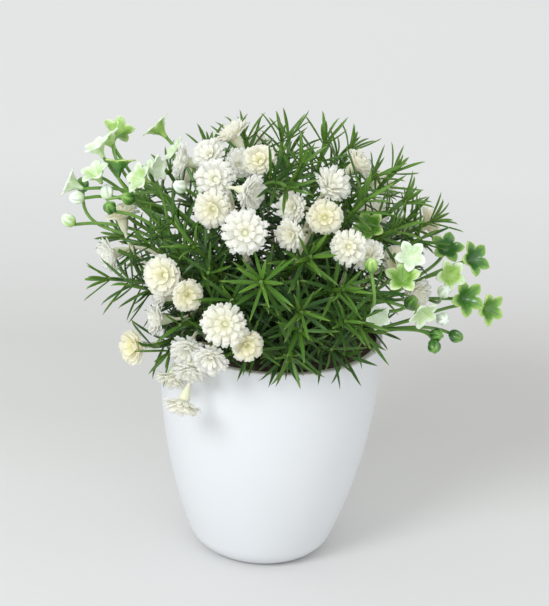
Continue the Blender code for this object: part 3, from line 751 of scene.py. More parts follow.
def layOut():
    room = Room()
    bunches = [[makeHead("bloom", *row) for row in spray] for spray in sprays]
    for sprig in sprigs:
        bunches.append([makeHead("star", *row) for row in sprig["stars"]]
                       + [makeHead("bud", *row) for row in sprig["buds"]])
    leafy = []
    for x, y, z, lift, tiers in leafyTips:
        tip = Vector((x, y, z)) * mm
        compass = math.degrees(math.atan2(tip.y, tip.x))
        rise = math.degrees(math.atan2(tip.z - pot["height"], math.hypot(tip.x, tip.y)))
        leafy.append((tip, facingVector(compass, min(rise * 0.8 + lift, 88)), tiers))
    for owner, heads in enumerate(bunches):
        for head in heads:
            settleHead(room, owner, head)
    sites = holeSites(len(bunches) + len(leafy))
    chosen = assignSites([middleOf(heads) for heads in bunches] + [row[0] for row in leafy], sites)
    routed = []
    for owner, heads in enumerate(bunches):
        radius = stems["bloom"] if owner < len(sprays) else stems["star"]
        routed.append(routeBunch(room, owner, heads, chosen[owner], radius,
                                 random.Random(100 + owner)))
    shoots = []
    for number, (tip, facing, tiers) in enumerate(leafy):
        owner = len(bunches) + number
        rng = random.Random(500 + number)
        foot, bend = holeFoot(chosen[owner])
        stations = []

        def trace(points):
            stations[:] = leafyStations([foot] + points, tiers)
            return [station["center"] for station in stations]

        line, handles = bendClear(room, owner, bend, up, tip, facing, stems["leafy"], rng, 9, trace)
        room.add(chain(line, stems["leafy"]), owner)
        shoots.append({"owner": owner, "stations": stations, "tiers": tiers, "rng": rng,
                       "foot": foot, "handles": handles})
    for shoot in shoots:
        shoot["leaves"] = placeLeaves(room, shoot["owner"], shoot["stations"], shoot["tiers"],
                                      shoot["rng"])
    return room, routed, shoots


room, bunches, shoots = layOut()
print("layout:", len(bunches), "bunches,", len(shoots), "leafy stems,",
      sum(len(shoot["leaves"]) for shoot in shoots), "leaves shared with the solids")

# Flowers and buds that only the scene has, by the number of their bunch

extras = {
    3: [("bloom", -41.6, -46, 101.5, -110, -50, 7.8)],
    10: [("bud", -90, -3, 164, 200, 10)],
    12: [("star", -55, -1, 179, -30, 15, 6.4), ("bud", -58, 8, 177, 150, 60),
         ("bud", -67, -8, 167, 220, 30)],
    15: [("star", 45, -46, 134, -80, 5, 6.0), ("bud", 40, -62, 164, -90, 75),
         ("bud", 59.5, -34, 137, -40, 50)],
}


def addExtras():
    for owner, rows in extras.items():
        bunch = bunches[owner]
        rng = random.Random(900 + owner)
        bend, fork = bunch["stem"][0], bunch["stem"][3]
        lean = (fork - bend).normalized()
        for row in rows:
            head = makeHead(*row)
            start, leave, neck = stalkEnds(fork, lean, len(bunch["heads"]), head)
            try:
                stalk, bends = bendClear(room, owner, start, leave, neck, head["facing"],
                                         stems["stalk"], rng, 5)
            except RuntimeError:  # too crowded there: the plain curve, without sway
                span = (neck - start).length
                bends = (start, start + leave * (0.4 * span),
                         neck - head["facing"] * (0.34 * span), neck)
                stalk = bezier(*bends, 5)
            room.add(chain(stalk, stems["stalk"]) + headLines[head["kind"]](head), owner)
            bunch["stalks"].append(bends)
            bunch["heads"].append(head)


addExtras()


# Shoots that only the scene has: some between the solids' own, and low ones round the filler

sideTips = [
    (-68, -5, 158), (-58, 5, 162), (-47, -20, 162), (-56, -22, 151), (-70, -10, 143),
    (-40, -32, 150), (-29, -45, 149), (-18, -57, 142), (-30, -52, 139), (22, -38, 167),
    (32, -20, 170), (46, 5, 169), (56, 0, 162), (62, -12, 158), (43, -52, 148),
    (31, -58, 136), (12, -62, 132), (-9, -56, 121), (-25, -50, 122), (-40, -45, 124),
    (-53, -40, 111), (-50, -35, 131), (-63, -25, 133), (51, -30, 157), (40, -45, 127),
    (26, -50, 119), (6, -55, 117), (60, 30, 150), (40, 45, 160), (0, 60, 160),
    (-30, 55, 162), (-55, 35, 155), (-15, 40, 178), (25, 35, 178),
]
sideShoots = {"foot": 0.022, "lean": 0.8, "lift": 5}
lowShoots = {
    "seed": 61, "count": 30, "radius": (0.035, 0.049), "rise": (0.0, 0.016), "bare": (-33, -6),
    "foot": 0.62, "jitter": 0.3, "turn": 30, "lift": (15, 60),
}
shootFoot = {"sink": 0.006, "straight": 0.008}


def addShoot(owner, tip, foot, facing):
    bend = foot + up * shootFoot["straight"]
    span = (tip - bend).length
    handles = (bend, bend + up * (0.4 * span), tip - facing * (0.3 * span), tip)
    shoots.append({"owner": owner, "stations": [], "tiers": 0, "foot": foot, "handles": handles,
                   "leaves": []})


def addSideShoots():
    for i, (x, y, z) in enumerate(sideTips):
        tip = Vector((x, y, z)) * mm
        compass = math.degrees(math.atan2(y, x))
        outward = facingVector(compass, 0)
        foot = outward * sideShoots["foot"]
        foot.z = fillerHeight(sideShoots["foot"]) - shootFoot["sink"]
        rise = math.degrees(math.atan2(tip.z - pot["height"], math.hypot(tip.x, tip.y)))
        addShoot(100 + i, tip, foot,
                 facingVector(compass, sideShoots["lean"] * rise + sideShoots["lift"]))


def addLowShoots():
    rng = random.Random(lowShoots["seed"])
    count, jitter, turn = lowShoots["count"], lowShoots["jitter"], lowShoots["turn"]
    for i in range(count):
        compass = 360 * (i + rng.uniform(-jitter, jitter)) / count - 180
        radius, rise = rng.uniform(*lowShoots["radius"]), rng.uniform(*lowShoots["rise"])
        if lowShoots["bare"][0] < compass < lowShoots["bare"][1]:
            continue
        outward = facingVector(compass, 0)
        tip = outward * radius + up * (pot["height"] + rise)
        foot = outward * (lowShoots["foot"] * radius)
        foot.z = fillerHeight(foot.length) - shootFoot["sink"]
        addShoot(200 + i, tip, foot, facingVector(compass + rng.uniform(-turn, turn),
                                                  rng.uniform(*lowShoots["lift"])))


addSideShoots()
addLowShoots()


# The pot

def potMaterial():
    material, board, shader = newMaterial("whitePlastic", {
        "Coat Roughness": 0.25, "IOR": 1.46})
    lip = board.height().within(pot["height"] - 0.0009, pot["height"] - 0.0002)
    cloud = board.noise(38.0, 4.0, 0.6)
    grain = board.noise(2600.0, 2.0, 0.6)
    base = board.mix(cloud.within(0.35, 0.75) * 0.35, color(226, 229, 232), color(222, 225, 228))
    base = board.mix(lip * 0.7, base, color(234, 230, 218))
    feed(board, shader, baseColor=base, roughness=0.34 + cloud * 0.1,
         coat=0.12 + cloud * 0.06, normal=board.bump(grain, 0.12, 0.00008))
    return material


def turnedMesh(name, profile, steps):
    # profile of (radius, height) from a pole down the outside and round to the other pole
    bm = bmesh.new()
    rows = []
    for radius, height in profile:
        if radius < 1e-6:
            rows.append([bm.verts.new((0.0, 0.0, height))])
            continue
        rows.append([bm.verts.new((radius * math.cos(2 * math.pi * i / steps),
                                   radius * math.sin(2 * math.pi * i / steps), height))
                     for i in range(steps)])
    for high, low in zip(rows, rows[1:]):
        for i in range(steps):
            k = (i + 1) % steps
            if len(high) == 1:
                bm.faces.new((high[0], low[i], low[k]))
            elif len(low) == 1:
                bm.faces.new((high[i], low[0], high[k]))
            else:
                bm.faces.new((high[i], low[i], low[k], high[k]))
    return closeMesh(bm, name, smooth=True)


def makePot():
    wall, rounding, top = pot["wall"], pot["lipRounding"], pot["height"]
    profile = [(0.0, pot["floor"])]
    flat = potRadius(pot["floor"]) - wall - 0.002
    profile += [(share * flat, pot["floor"]) for share in (0.5, 1.0)]
    for share in (0.05, 0.08, 0.13, 0.2, 0.3, 0.42, 0.56, 0.7, 0.82, 0.9, 0.95, 0.975):
        profile.append((potRadius(top * share) - wall, top * share))
    inner = pot["rim"] - wall + rounding
    outer = pot["rim"] - rounding
    for angle in (180, 157, 135, 112, 90):
        profile.append((inner + rounding * math.cos(math.radians(angle)),
                        top - rounding + rounding * math.sin(math.radians(angle))))
    for angle in (90, 68, 45, 22, 0):
        profile.append((outer + rounding * math.cos(math.radians(angle)),
                        top - rounding + rounding * math.sin(math.radians(angle))))
    for share in np.linspace(0.975, 0.02, 44):
        profile.append((potRadius(top * share), top * share))
    foot = potRadius(0.0)
    for share in (0.012, 0.006, 0.002):
        profile.append((potRadius(top * share), top * share))
    profile += [(foot - 0.0003, 0.0), (0.75 * foot, 0.0), (0.4 * foot, 0.0), (0.0, 0.0)]
    mesh = turnedMesh("potShell", profile, pot["steps"])
    return finishPiece("potShell", mesh, potMaterial())


potShell = makePot()
handOver(potShell, ["pot"], "pot")


# The filler

fillerLook = {"rings": 34, "steps": 150, "lump": 0.0011, "grain": 0.0005, "wallGap": 0.0001}


def fillerMaterial():
    material, board, shader = newMaterial("foamFiller", {"Specular IOR Level": 0.25})
    lumps = board.noise(210.0, 4.0, 0.65)
    specks = board.noise(1500.0, 3.0, 0.7)
    base = board.mix(lumps.within(0.3, 0.7), color(84, 70, 60), color(132, 116, 104))
    base = board.mix(specks.within(0.56, 0.7) * 0.7, base, color(52, 42, 34))
    feed(board, shader, baseColor=base, roughness=0.85 + specks * 0.12,
         normal=board.bump(specks + lumps * 0.8, 0.7, 0.0006))
    return material


def makeFiller():
    inset = pot["wall"] + fillerLook["wallGap"]
    edge = potRadius(filler["edge"]) - inset
    rings = fillerLook["rings"]
    profile = [(0.0, fillerHeight(0.0))]
    profile += [(edge * i / rings, fillerHeight(edge * i / rings)) for i in range(1, rings + 1)]
    profile += [(potRadius(height) - inset, height) for height in (0.09, 0.075, filler["bottom"])]
    profile.append((0.0, filler["bottom"]))
    mesh = turnedMesh("fillerFoam", profile, fillerLook["steps"])
    for vert in mesh.vertices:
        if vert.co.z > filler["edge"] - 0.0001:
            fade = min(1.0, (edge - math.hypot(vert.co.x, vert.co.y)) / 0.002)
            spot = vert.co * 160
            vert.co.z += fade * (fillerLook["lump"] * noise.noise(spot)
                                 + fillerLook["grain"] * noise.noise(spot * 4.3))
    return finishPiece("fillerFoam", mesh, fillerMaterial())


fillerFoam = makeFiller()
handOver(fillerFoam, ["filler"], "filler")


# Tubes: leafy stems, bloom stalks and star stalks

def pathMesh(name, paths):
    # each path is a list of points, one of radii and one of marks from 0 to 1
    points, edges, radii, marks = [], [], [], []
    for line, thick, mark in paths:
        base = len(points)
        points += [tuple(p) for p in line]
        radii += list(thick)
        marks += list(mark)
        edges += [(base + i, base + i + 1) for i in range(len(line) - 1)]
    mesh = bpy.data.meshes.new(name)
    mesh.from_pydata(points, edges, [])
    setAttribute(mesh, "thick", "FLOAT", radii)
    setAttribute(mesh, "mark", "FLOAT", marks)
    return mesh


skinPaths = tubeTree()
scatterShapes = scatterTree()


# The leaves and their stems

leafLook = {
    "seed": 21, "perWhorl": 5, "spacing": 0.0080, "lowest": 0.003, "clear": 0.0034,
    "lengths": (0.0145, 0.0205), "rise": (6, 36), "overlap": -0.0011,
    "slim": (0.66, 0.92), "ownSlim": (0.72, 0.92), "flowerGap": 0.0002, "tries": 6,
    "shorter": 0.06, "turn": 0.25, "whorlTurn": 0.9, "riseSpread": 14, "swing": 0.28,
    "young": {"count": 2, "rise": (50, 78), "lengths": (0.008, 0.012)},
}


def leafMesh(name, bend, twist):
    # a unit leaf: root at the origin, tip at height 1, one wide each way, thick as it is wide
    stations = ((0.0, 0.42), (0.08, 0.56), (0.24, 0.86), (0.45, 1.0), (0.68, 0.86), (0.88, 0.46))
    section = ((-1.0, 0.34), (-0.5, 0.12), (0.0, -0.04), (0.5, 0.12), (1.0, 0.34), (0.0, -0.40))
    bm = bmesh.new()
    along = bm.verts.layers.float.new("along")
    across = bm.verts.layers.float.new("across")
    rows = []
    for level, width in stations:
        turn = twist * level
        lean = bend * (level - level * level) * 4
        row = []
        for x, y in section:
            px, py = x * width, y * width ** 0.5
            vert = bm.verts.new((px * math.cos(turn) - py * math.sin(turn),
                                 px * math.sin(turn) + py * math.cos(turn) + lean, level))
            vert[along] = level
            vert[across] = x if y > -0.2 else 2.0
            row.append(vert)
        rows.append(row)
    tip = bm.verts.new((0.0, -0.5 * bend, 1.0))
    tip[along] = 1.0
    for low, high in zip(rows, rows[1:]):
        for i in range(6):
            k = (i + 1) % 6
            bm.faces.new((low[k], low[i], high[i], high[k]))
    for i in range(6):
        bm.faces.new((rows[-1][(i + 1) % 6], rows[-1][i], tip))
    bm.faces.new(rows[0])
    bmesh.ops.recalc_face_normals(bm, faces=bm.faces)
    return closeMesh(bm, name)


def shapeCollection(name, meshes):
    group = bpy.data.collections.new(name)
    bpy.context.scene.collection.children.link(group)
    for i, mesh in enumerate(meshes):
        group.objects.link(bpy.data.objects.new(f"{name}{i:02d}", mesh))
    return group


def dropCollection(group):
    for thing in list(group.objects):
        bpy.data.objects.remove(thing)
    bpy.data.collections.remove(group)


def scatterPiece(name, rows, group, material):
    # rows say where each copy stands: place, aim, wide, spread, kind and more numbers by name
    mesh = bpy.data.meshes.new(name + "Points")
    mesh.from_pydata([tuple(row["place"]) for row in rows], [], [])
    for key in ("aim", "wide", "spread"):
        setAttribute(mesh, key, "FLOAT_VECTOR", [tuple(row[key]) for row in rows])
    setAttribute(mesh, "kind", "INT", [row["kind"] for row in rows])
    for key in rows[0]["marks"]:
        setAttribute(mesh, key, "FLOAT", [row["marks"][key] for row in rows])
    piece = runTree(name, mesh, scatterShapes, {"Shapes": group, "Size": 1.0, "Finish": material})
    dropCollection(group)
    return piece


def growLeaf(shoot, center, along, radial, rise, length, swing, tag):
    # a leaf that keeps clear of flowers and nearly clear of the other leaves, or None
    shape = leafShape(center + radial * (0.6 * stems["leafy"]), radial, along, rise, length, swing)
    lines = leafLines(shape)
    flowers = room.owners < len(bunches)
    others = ~flowers & ((room.owners != shoot["owner"]) | (room.tags > 0))
    if (not clearOfPot(lines) or room.gapTo(lines, flowers) < leafLook["flowerGap"]
            or room.gapTo(lines, others) < leafLook["overlap"]):
        return None
    room.add(lines, shoot["owner"], tag)
    return shape


def moreLeaves(shoot, rng):
    # whorls between and below the ones that the solids have, and a tuft at the tip
    line = [shoot["foot"]] + bezier(*shoot["handles"], 24)
    total, at = measurePath(line)
    straight = (line[1] - line[0]).length
    taken = [s["length"] for s in shoot["stations"] if s["tier"] is not None]
    made = []
    turn, spread, swing = leafLook["turn"], leafLook["riseSpread"], leafLook["swing"]
    level, number = total - leafLook["spacing"] * (1.0 if taken else 0.1), 0
    side = Vector((1.0, 0.0, 0.0))
    while level > straight + leafLook["lowest"]:
        along = (at(level + mm) - at(level - mm)).normalized()
        side = (side - along * side.dot(along)).normalized()
        other = along.cross(side)
        share = (total - level) / total
        near = min([abs(level - mark) for mark in taken] or [1.0])
        count = leafLook["perWhorl"] if near > leafLook["clear"] else 0
        for j in range(count):
            for attempt in range(leafLook["tries"]):
                angle = (2 * math.pi * (j + rng.uniform(-turn, turn)) / count
                         + number * leafLook["whorlTurn"])
                radial = around(side, other, angle)
                low, high = leafLook["rise"]
                rise = math.radians(high + (low - high) * min(1.0, 1.8 * share)
                                    + rng.uniform(-spread, spread))
                length = rng.uniform(*leafLook["lengths"]) * (1 - leafLook["shorter"] * attempt)
                shape = growLeaf(shoot, at(level), along, radial, rise, length,
                                 rng.uniform(-swing, swing), 90 + number)
                if shape:
                    shape["young"] = False
                    made.append(shape)
                    break
        level -= leafLook["spacing"] * rng.uniform(0.9, 1.15)
        number += 1
    young = leafLook["young"]
    along = (at(total) - at(total - mm)).normalized()
    side = along.orthogonal().normalized()
    other = along.cross(side)
    start = rng.uniform(0, 6)
    for j in range(young["count"]):
        angle = start + 2 * math.pi * (j + rng.uniform(-0.2, 0.2)) / young["count"]
        radial = around(side, other, angle)
        shape = growLeaf(shoot, at(total - 0.0006), along, radial,
                         math.radians(rng.uniform(*young["rise"])),
                         rng.uniform(*young["lengths"]), 0.0, 89)
        if shape:
            shape["young"] = True
            made.append(shape)
    return made


def leafMaterial():
    material, board, shader = newMaterial("leafPlastic", {
        "Coat Roughness": 0.16, "Specular IOR Level": 0.3, "Subsurface Weight": 0.1,
        "Subsurface Scale": 0.002, "Subsurface Radius": (0.6, 1.0, 0.3)})
    along, across = board.attribute("along"), board.attribute("across")
    tint, fresh = board.attribute("tint"), board.attribute("fresh")
    patches = board.noise(140.0, 3.0, 0.6)
    base = board.mix(tint, color(26, 66, 8), color(70, 122, 22))
    base = board.mix(patches.within(0.35, 0.7) * 0.4, base, color(54, 102, 16))
    rib = 1 - across.size().within(0.02, 0.25)
    base = board.mix(rib * 0.22, base, color(112, 152, 62))
    sides = across.size().within(0.75, 1.0) * (1 - across.size().within(1.05, 1.2))
    base = board.mix(sides * 0.3, base, color(124, 164, 66))
    under = across.size().within(1.2, 1.8)
    base = board.mix(under * 0.3, base, color(84, 124, 52))
    ends = along.within(0.78, 1.0) * 0.65 + (1 - along.within(0.0, 0.12)) * 0.2
    base = board.mix(ends, base, color(138, 168, 62))
    base = board.mix(fresh * 0.35, base, color(112, 156, 52))
    # painted shade: leaves in the heart of the plant are darkened towards near-black green
    base = board.mix(board.attribute("deep") * 0.7, base, color(14, 38, 6))
    ribs = (across * 14.0).wave() * 0.5 + board.noise(900.0, 2.0, 0.5)
    feed(board, shader, baseColor=base, roughness=0.34 + patches * 0.14,
         coat=0.14 + tint * 0.12, normal=board.bump(ribs, 0.22, 0.00012))
    return material


leafStemLook = {
    "name": "leafStemPlastic", "shader": {"Coat Roughness": 0.3}, "foot": color(32, 66, 18),
    "tip": color(92, 132, 44), "patch": color(68, 104, 34), "patchScale": 160.0,
    "patchFrom": 0.4, "patchTo": 0.7, "patchShare": 0.4, "rough": (0.36, 0.15), "grain": 1100.0,
    "bump": 0.3, "points": 56,
}


def stalkMaterial(look):
    # a moulded stem or stalk: its tone runs along the mark, with cloudy patches over it
    material, board, shader = newMaterial(look["name"], look["shader"])
    mark = board.attribute("mark")
    if "tipFrom" in look:
        mark = mark.within(look["tipFrom"], 1.0)
    patches = board.noise(look["patchScale"], 3.0, 0.6)
    base = board.mix(mark, look["foot"], look["tip"])
    base = board.mix(patches.within(look["patchFrom"], look["patchTo"]) * look["patchShare"],
                     base, look["patch"])
    plain, added = look["rough"]
    wires = {"baseColor": base, "roughness": plain + patches * added,
             "normal": board.bump(board.noise(look["grain"], 2.0, 0.5), look["bump"], 0.00012)}
    if "coat" in look:
        plain, added = look["coat"]
        wires["coat"] = plain + patches * added
    feed(board, shader, **wires)
    return material


deepLook = {"height": 0.115, "reach": 0.078, "fade": 0.032}


def deepShade(spot):
    # 1 in the heart of the plant, where hardly any light falls, and 0 at its outside
    reach = (spot - Vector((0.0, 0.0, deepLook["height"]))).length
    return min(1.0, max(0.0, (deepLook["reach"] - reach) / deepLook["fade"]))


def makeLeaves():
    rng = random.Random(leafLook["seed"])
    rows = []
    width = leaf["halfWidth"]
    for shoot in shoots:
        tone = rng.uniform(0.1, 0.9)
        own = len(shoot["leaves"])
        for number, shape in enumerate(shoot["leaves"] + moreLeaves(shoot, rng)):
            slim = rng.uniform(*leafLook["ownSlim" if number < own else "slim"])
            rows.append({
                "place": shape["root"], "aim": shape["aim"], "wide": shape["wide"],
                "spread": (width * slim, width * slim ** 0.5, shape["length"]),
                "kind": rng.randrange(4),
                "marks": {"deep": deepShade(shape["root"].lerp(shape["tip"], 0.6)),
                          "tint": min(1.0, max(0.0, tone + rng.uniform(-0.35, 0.35))),
                          "fresh": 1.0 if shape["young"] else max(0.0, rng.uniform(-1.5, 0.7))},
            })
    shapes = [leafMesh("leafA", 0.6, 0.0), leafMesh("leafB", -0.35, 0.3),
              leafMesh("leafC", 1.0, -0.35), leafMesh("leafD", 0.2, 0.5)]
    piece = scatterPiece("leaves", rows, shapeCollection("leafShape", shapes), leafMaterial())
    print("leaves:", len(rows))
    return piece


def makeLeafStems():
    paths = []
    for shoot in shoots:
        line = [shoot["foot"]] + bezier(*shoot["handles"], 40)
        total, at = measurePath(line)
        count = leafStemLook["points"]
        points = [at(total * i / (count - 1)) for i in range(count)]
        radii, marks = [], []
        for i in range(count):
            share = i / (count - 1)
            radii.append(stems["leafy"] * (1.05 - 0.22 * share))
            marks.append(0.2 + 0.7 * share ** 2)
        paths.append((points, radii, marks))
    mesh = pathMesh("leafStemPaths", paths)
    return runTree("leafStems", mesh, skinPaths,
                   {"Sides": 8, "Thickness": 1.0, "Finish": stalkMaterial(leafStemLook)})


leafStems = makeLeafStems()
leaves = makeLeaves()
handOver(leaves, [f"leafy_stem_{i + 1:02d}" for i in range(len(leafyTips))], "leaf")
handOver(leafStems, [], "leaf")


# The blooms: stalks with their funnels, and rings of petals joined at the heart

bloomLook = {
    "seed": 5, "shell": 0.022, "hole": 0.10, "broadFrom": 0.55,
    # plan radius and height of each ring's rim as shares of the bloom's, and petals fine and broad
    "rings": ((1.0, 0.38, 15, 8), (0.93, 0.54, 13, 8), (0.78, 0.66, 10, 7), (0.42, 0.62, 7, 5)),
    "warmth": ((0.45, 0.1, 0.1, 0.0), (0.1, 0.05, 0.5, 0.15), (0.8, 0.05, 0.6, 0.8, 0.1, 0.1),
               (0.95, 0.05, 0.05, 0.4, 0.3), (0.35, 0.85, 0.1), (0.15, 0.75, 0.2, 0.3),
               (0.3, 0.2, 0.75, 0.2), (0.9, 0.2), (0.6, 0.5), (0.3, 0.3, 0.3)),
}


def petalEnd(share, lobes, slit):
    # how far a petal reaches at a share of its width, with a slit at each side and notches
    sides = min(1.0, min(share, 1 - share) / 0.13) ** 0.6
    notch = 0.5 + 0.5 * math.cos(2 * math.pi * lobes * share)
    return (slit + (1 - slit) * sides) * (1 - 0.06 * notch)


def ringMesh(name, petals, ring, broad, rng):
    # a unit ring of petals, a cone open at the top: its axis is upright and its heart at the origin
    plan, height = ring
    shares = (0.0, 0.05, 0.14, 0.26, 0.38, 0.5, 0.62, 0.74, 0.86, 0.95) if broad else \
        (0.0, 0.10, 0.30, 0.5, 0.70, 0.90)
    lobes = 3 if broad else 2
    levels = (0.0, 0.22, 0.44, 0.66, 0.84, 1.0)
    bm = bmesh.new()
    layers = {key: bm.verts.layers.float.new(key) for key in ("along", "across", "own")}
    columns = []
    for j in range(petals):
        tall, far, tone = rng.uniform(-0.16, 0.14), rng.uniform(0.88, 1.04), rng.random()
        curl, tilt = rng.uniform(0.3, 1.0), rng.uniform(-0.05, 0.05)
        for share in shares:
            columns.append((j, share, tall, far, tone, curl, tilt))
    sheets = []
    for side in (0.5, -0.5):
        rows = []
        for level in levels:
            row = []
            for j, share, tall, far, tone, curl, tilt in columns:
                reach = 1 - (1 - petalEnd(share, lobes, 0.54) * far) * level ** 2
                s = level * reach
                free = max(0.0, s - 0.35)  # petals part from the cone towards their ends
                middle = math.cos(2 * math.pi * share)
                r = bloomLook["hole"] + (plan - bloomLook["hole"]) * s
                z = height * (1.25 * s - 0.25 * s * s) + free * (tall + tilt * (share - 0.5) * 4)
                z -= 0.030 * middle * s
                z -= 0.10 * curl * max(0.0, s - 0.72) ** 2 * 9
                angle = 2 * math.pi * (j + share) / petals + 0.03 * free * curl
                z += side * bloomLook["shell"]
                vert = bm.verts.new((r * math.cos(angle), r * math.sin(angle), z))
                vert[layers["along"]] = s
                vert[layers["across"]] = 2 * share - 1
                vert[layers["own"]] = tone
                row.append(vert)
            rows.append(row)
        sheets.append(rows)
    count = len(columns)
    inside, outside = sheets
    for i in range(count):
        k = (i + 1) % count
        for low, high in zip(inside, inside[1:]):
            bm.faces.new((low[i], high[i], high[k], low[k]))
        for low, high in zip(outside, outside[1:]):
            bm.faces.new((low[i], low[k], high[k], high[i]))
        bm.faces.new((inside[-1][i], outside[-1][i], outside[-1][k], inside[-1][k]))
        bm.faces.new((inside[0][i], inside[0][k], outside[0][k], outside[0][i]))
    bmesh.ops.recalc_face_normals(bm, faces=bm.faces)
    return closeMesh(bm, name)


def petalMaterial():
    # painted light: a faint glow (Emission Strength 0.042) lightens the petals, most of all their shaded sides, in
    # place of light passing through them
    material, board, shader = newMaterial("petalPlastic", {
        "Subsurface Weight": 0.7, "Subsurface Scale": 0.006, "Subsurface Radius": (1.0, 0.95, 0.75),
        "Specular IOR Level": 0.35, "Emission Color": color(255, 253, 240),
        "Emission Strength": 0.042})
    along, across = board.attribute("along"), board.attribute("across")
    warmth, inner, own = board.attribute("warmth"), board.attribute("inner"), board.attribute("own")
    patches = board.noise(240.0, 3.0, 0.6)
    base = board.mix(warmth * 0.8, color(251, 252, 244), color(250, 244, 196))
    heart = (1 - along.within(0.05, 0.75)) * (0.07 + warmth * 0.35) + inner * (0.02 + warmth * 0.12)
    base = board.mix(heart, base, color(246, 240, 150))
    base = board.mix(patches.within(0.4, 0.75) * 0.1 + own * 0.06, base, color(238, 239, 228))
    folds = (across * 15.0).wave() * 0.5 + board.noise(1300.0, 2.0, 0.5) * 0.4
    feed(board, shader, baseColor=base, roughness=0.42 + patches * 0.12,
         normal=board.bump(folds, 0.22, 0.0002))
    return material


def ringRows(tiers):
    rng = random.Random(bloomLook["seed"] + tiers[0])
    rows = []
    for bunch, warmths in zip(bunches, bloomLook["warmth"]):
        for head, warmth in zip(bunch["heads"], warmths):
            side, other = flowerAxes(head["facing"])
            facing, size = head["facing"], head["size"]
            for tier in tiers:
                turn = rng.uniform(0, 2 * math.pi)
                wide = around(side, other, turn)
                broad = 1 if warmth > bloomLook["broadFrom"] else 0
                lean = wide * rng.uniform(-0.05, 0.05)
                rows.append({
                    "place": head["place"] + facing * (0.0002 + 0.0003 * tier),
                    "aim": (facing + lean).normalized(), "wide": wide,
                    "spread": (size, size, size * rng.uniform(0.92, 1.08)),
                    "kind": (tier - tiers[0]) * 4 + broad * 2 + rng.randrange(2),
                    "marks": {"warmth": warmth, "inner": tier / 3},
                })
    return rows


def makePetals(name, tiers, material):
    rng = random.Random(bloomLook["seed"] + 10)
    shapes = []
    for tier in tiers:
        plan, height, fine, broad = bloomLook["rings"][tier]
        for petals, kind in ((fine, False), (broad, True)):
            for i in range(2):
                shapes.append(ringMesh(f"{name}{tier}{petals}{i}", petals, (plan, height), kind,
                                       rng))
    return scatterPiece(name, ringRows(tiers), shapeCollection(name + "Ring", shapes), material)


bloomStalkLook = {
    "name": "bloomStalkPlastic", "shader": {"Subsurface Weight": 0.2, "Subsurface Scale": 0.002},
    "foot": color(232, 227, 202), "tip": color(224, 227, 198), "patch": color(206, 218, 180),
    "tipFrom": 0.4, "patchScale": 180.0, "patchFrom": 0.45, "patchTo": 0.75, "patchShare": 0.3,
    "rough": (0.45, 0.12), "grain": 1000.0, "bump": 0.2,
}


def bunchPaths(chosen, radius, funnels):
    # the stem of each bunch and the stalk of each flower, which widens by its funnel's profile
    paths = []
    for bunch in chosen:
        line = [bunch["foot"]] + bezier(*bunch["stem"], 24)
        paths.append((line, [radius] * len(line),
                      [0.1 + 0.3 * i / len(line) for i in range(len(line))]))
        for handles, head in zip(bunch["stalks"], bunch["heads"]):
            line = bezier(*handles, 18)
            radii = [stems["stalk"]] * len(line)
            marks = [0.4 + 0.3 * i / len(line) for i in range(len(line))]
            for level, thick in funnels[head["kind"]]:
                line.append(head["place"] + head["facing"] * level)
                radii.append(thick)
                marks.append(1.0)
            paths.append((line, radii, marks))
    return paths


def makeBloomStalks():
    wide = bloom["calyxRadius"]
    funnel = [(-0.0055, 0.0009), (-0.0045, 0.0014), (-0.0032, 0.0018), (-0.0018, 0.95 * wide),
              (-0.0006, 1.05 * wide), (0.0006, 1.05 * wide), (0.0012, 0.6 * wide)]
    paths = bunchPaths(bunches[:len(sprays)], stems["bloom"], {"bloom": funnel})
    return runTree("bloomStalks", pathMesh("bloomPaths", paths), skinPaths,
                   {"Sides": 12, "Thickness": 1.0, "Finish": stalkMaterial(bloomStalkLook)})


petalPlastic = petalMaterial()
outerPetals = makePetals("outerPetals", (0, 1), petalPlastic)
innerPetals = makePetals("innerPetals", (2, 3), petalPlastic)
bloomStalks = makeBloomStalks()
handOver(outerPetals, [f"flower_spray_{i + 1:02d}" for i in range(len(sprays))], "bloom")
handOver(innerPetals, [], "bloom")
handOver(bloomStalks, [], "bloom")


# The star flowers, their buds and their stalks

starLook = {
    "steps": 70, "sinus": 0.50, "thickness": 0.0007, "ribs": 0.05, "throat": -0.0032,
    # greenness of each flower and bud in turn, by sprig
    "shades": ((0.36, 0.2, 0.1, 0.6, 0.2, 0.08, 0.95, 0.1, 0.12), (0.25, 0.35, 0.95),
               (0.3, 0.2, 0.2, 0.1, 0.4, 0.9), (0.78, 0.78, 0.35, 0.7, 0.2),
               (0.6, 0.12, 1.0, 1.0, 1.0), (0.6, 0.45, 0.15, 0.25, 0.1, 0.7, 0.95), (0.5, 0.5)),
}


budLook = {"steps": 40, "rings": 14, "swell": 1.06, "fold": 0.42, "top": 0.84}


def lobeShare(angle):
    # 0 in the sinus, 1 on a lobe's middle line
    turn = (angle / (2 * math.pi) * 5) % 1.0 - 0.5
    return 1 - abs(turn) * 2


def lobeReach(angle, size):
    # outline of five pointed lobes, with the sinus between them at half the radius
    return size * (starLook["sinus"] + (1 - starLook["sinus"]) * lobeShare(angle) ** 0.62)


def addRing(bm, layers, head, steps, rule, **marks):
    # points round the flower's axis; the rule gives radius, level and lobe at an angle
    side, other = flowerAxes(head["facing"])
    row = []
    for i in range(steps):
        angle = 2 * math.pi * i / steps
        r, level, lobe = rule(angle)
        vert = bm.verts.new(head["place"] + side * (r * math.cos(angle))
                            + other * (r * math.sin(angle)) + head["facing"] * level)
        vert[layers["lobe"]] = lobe
        for key, value in marks.items():
            vert[layers[key]] = value
        row.append(vert)
    return row


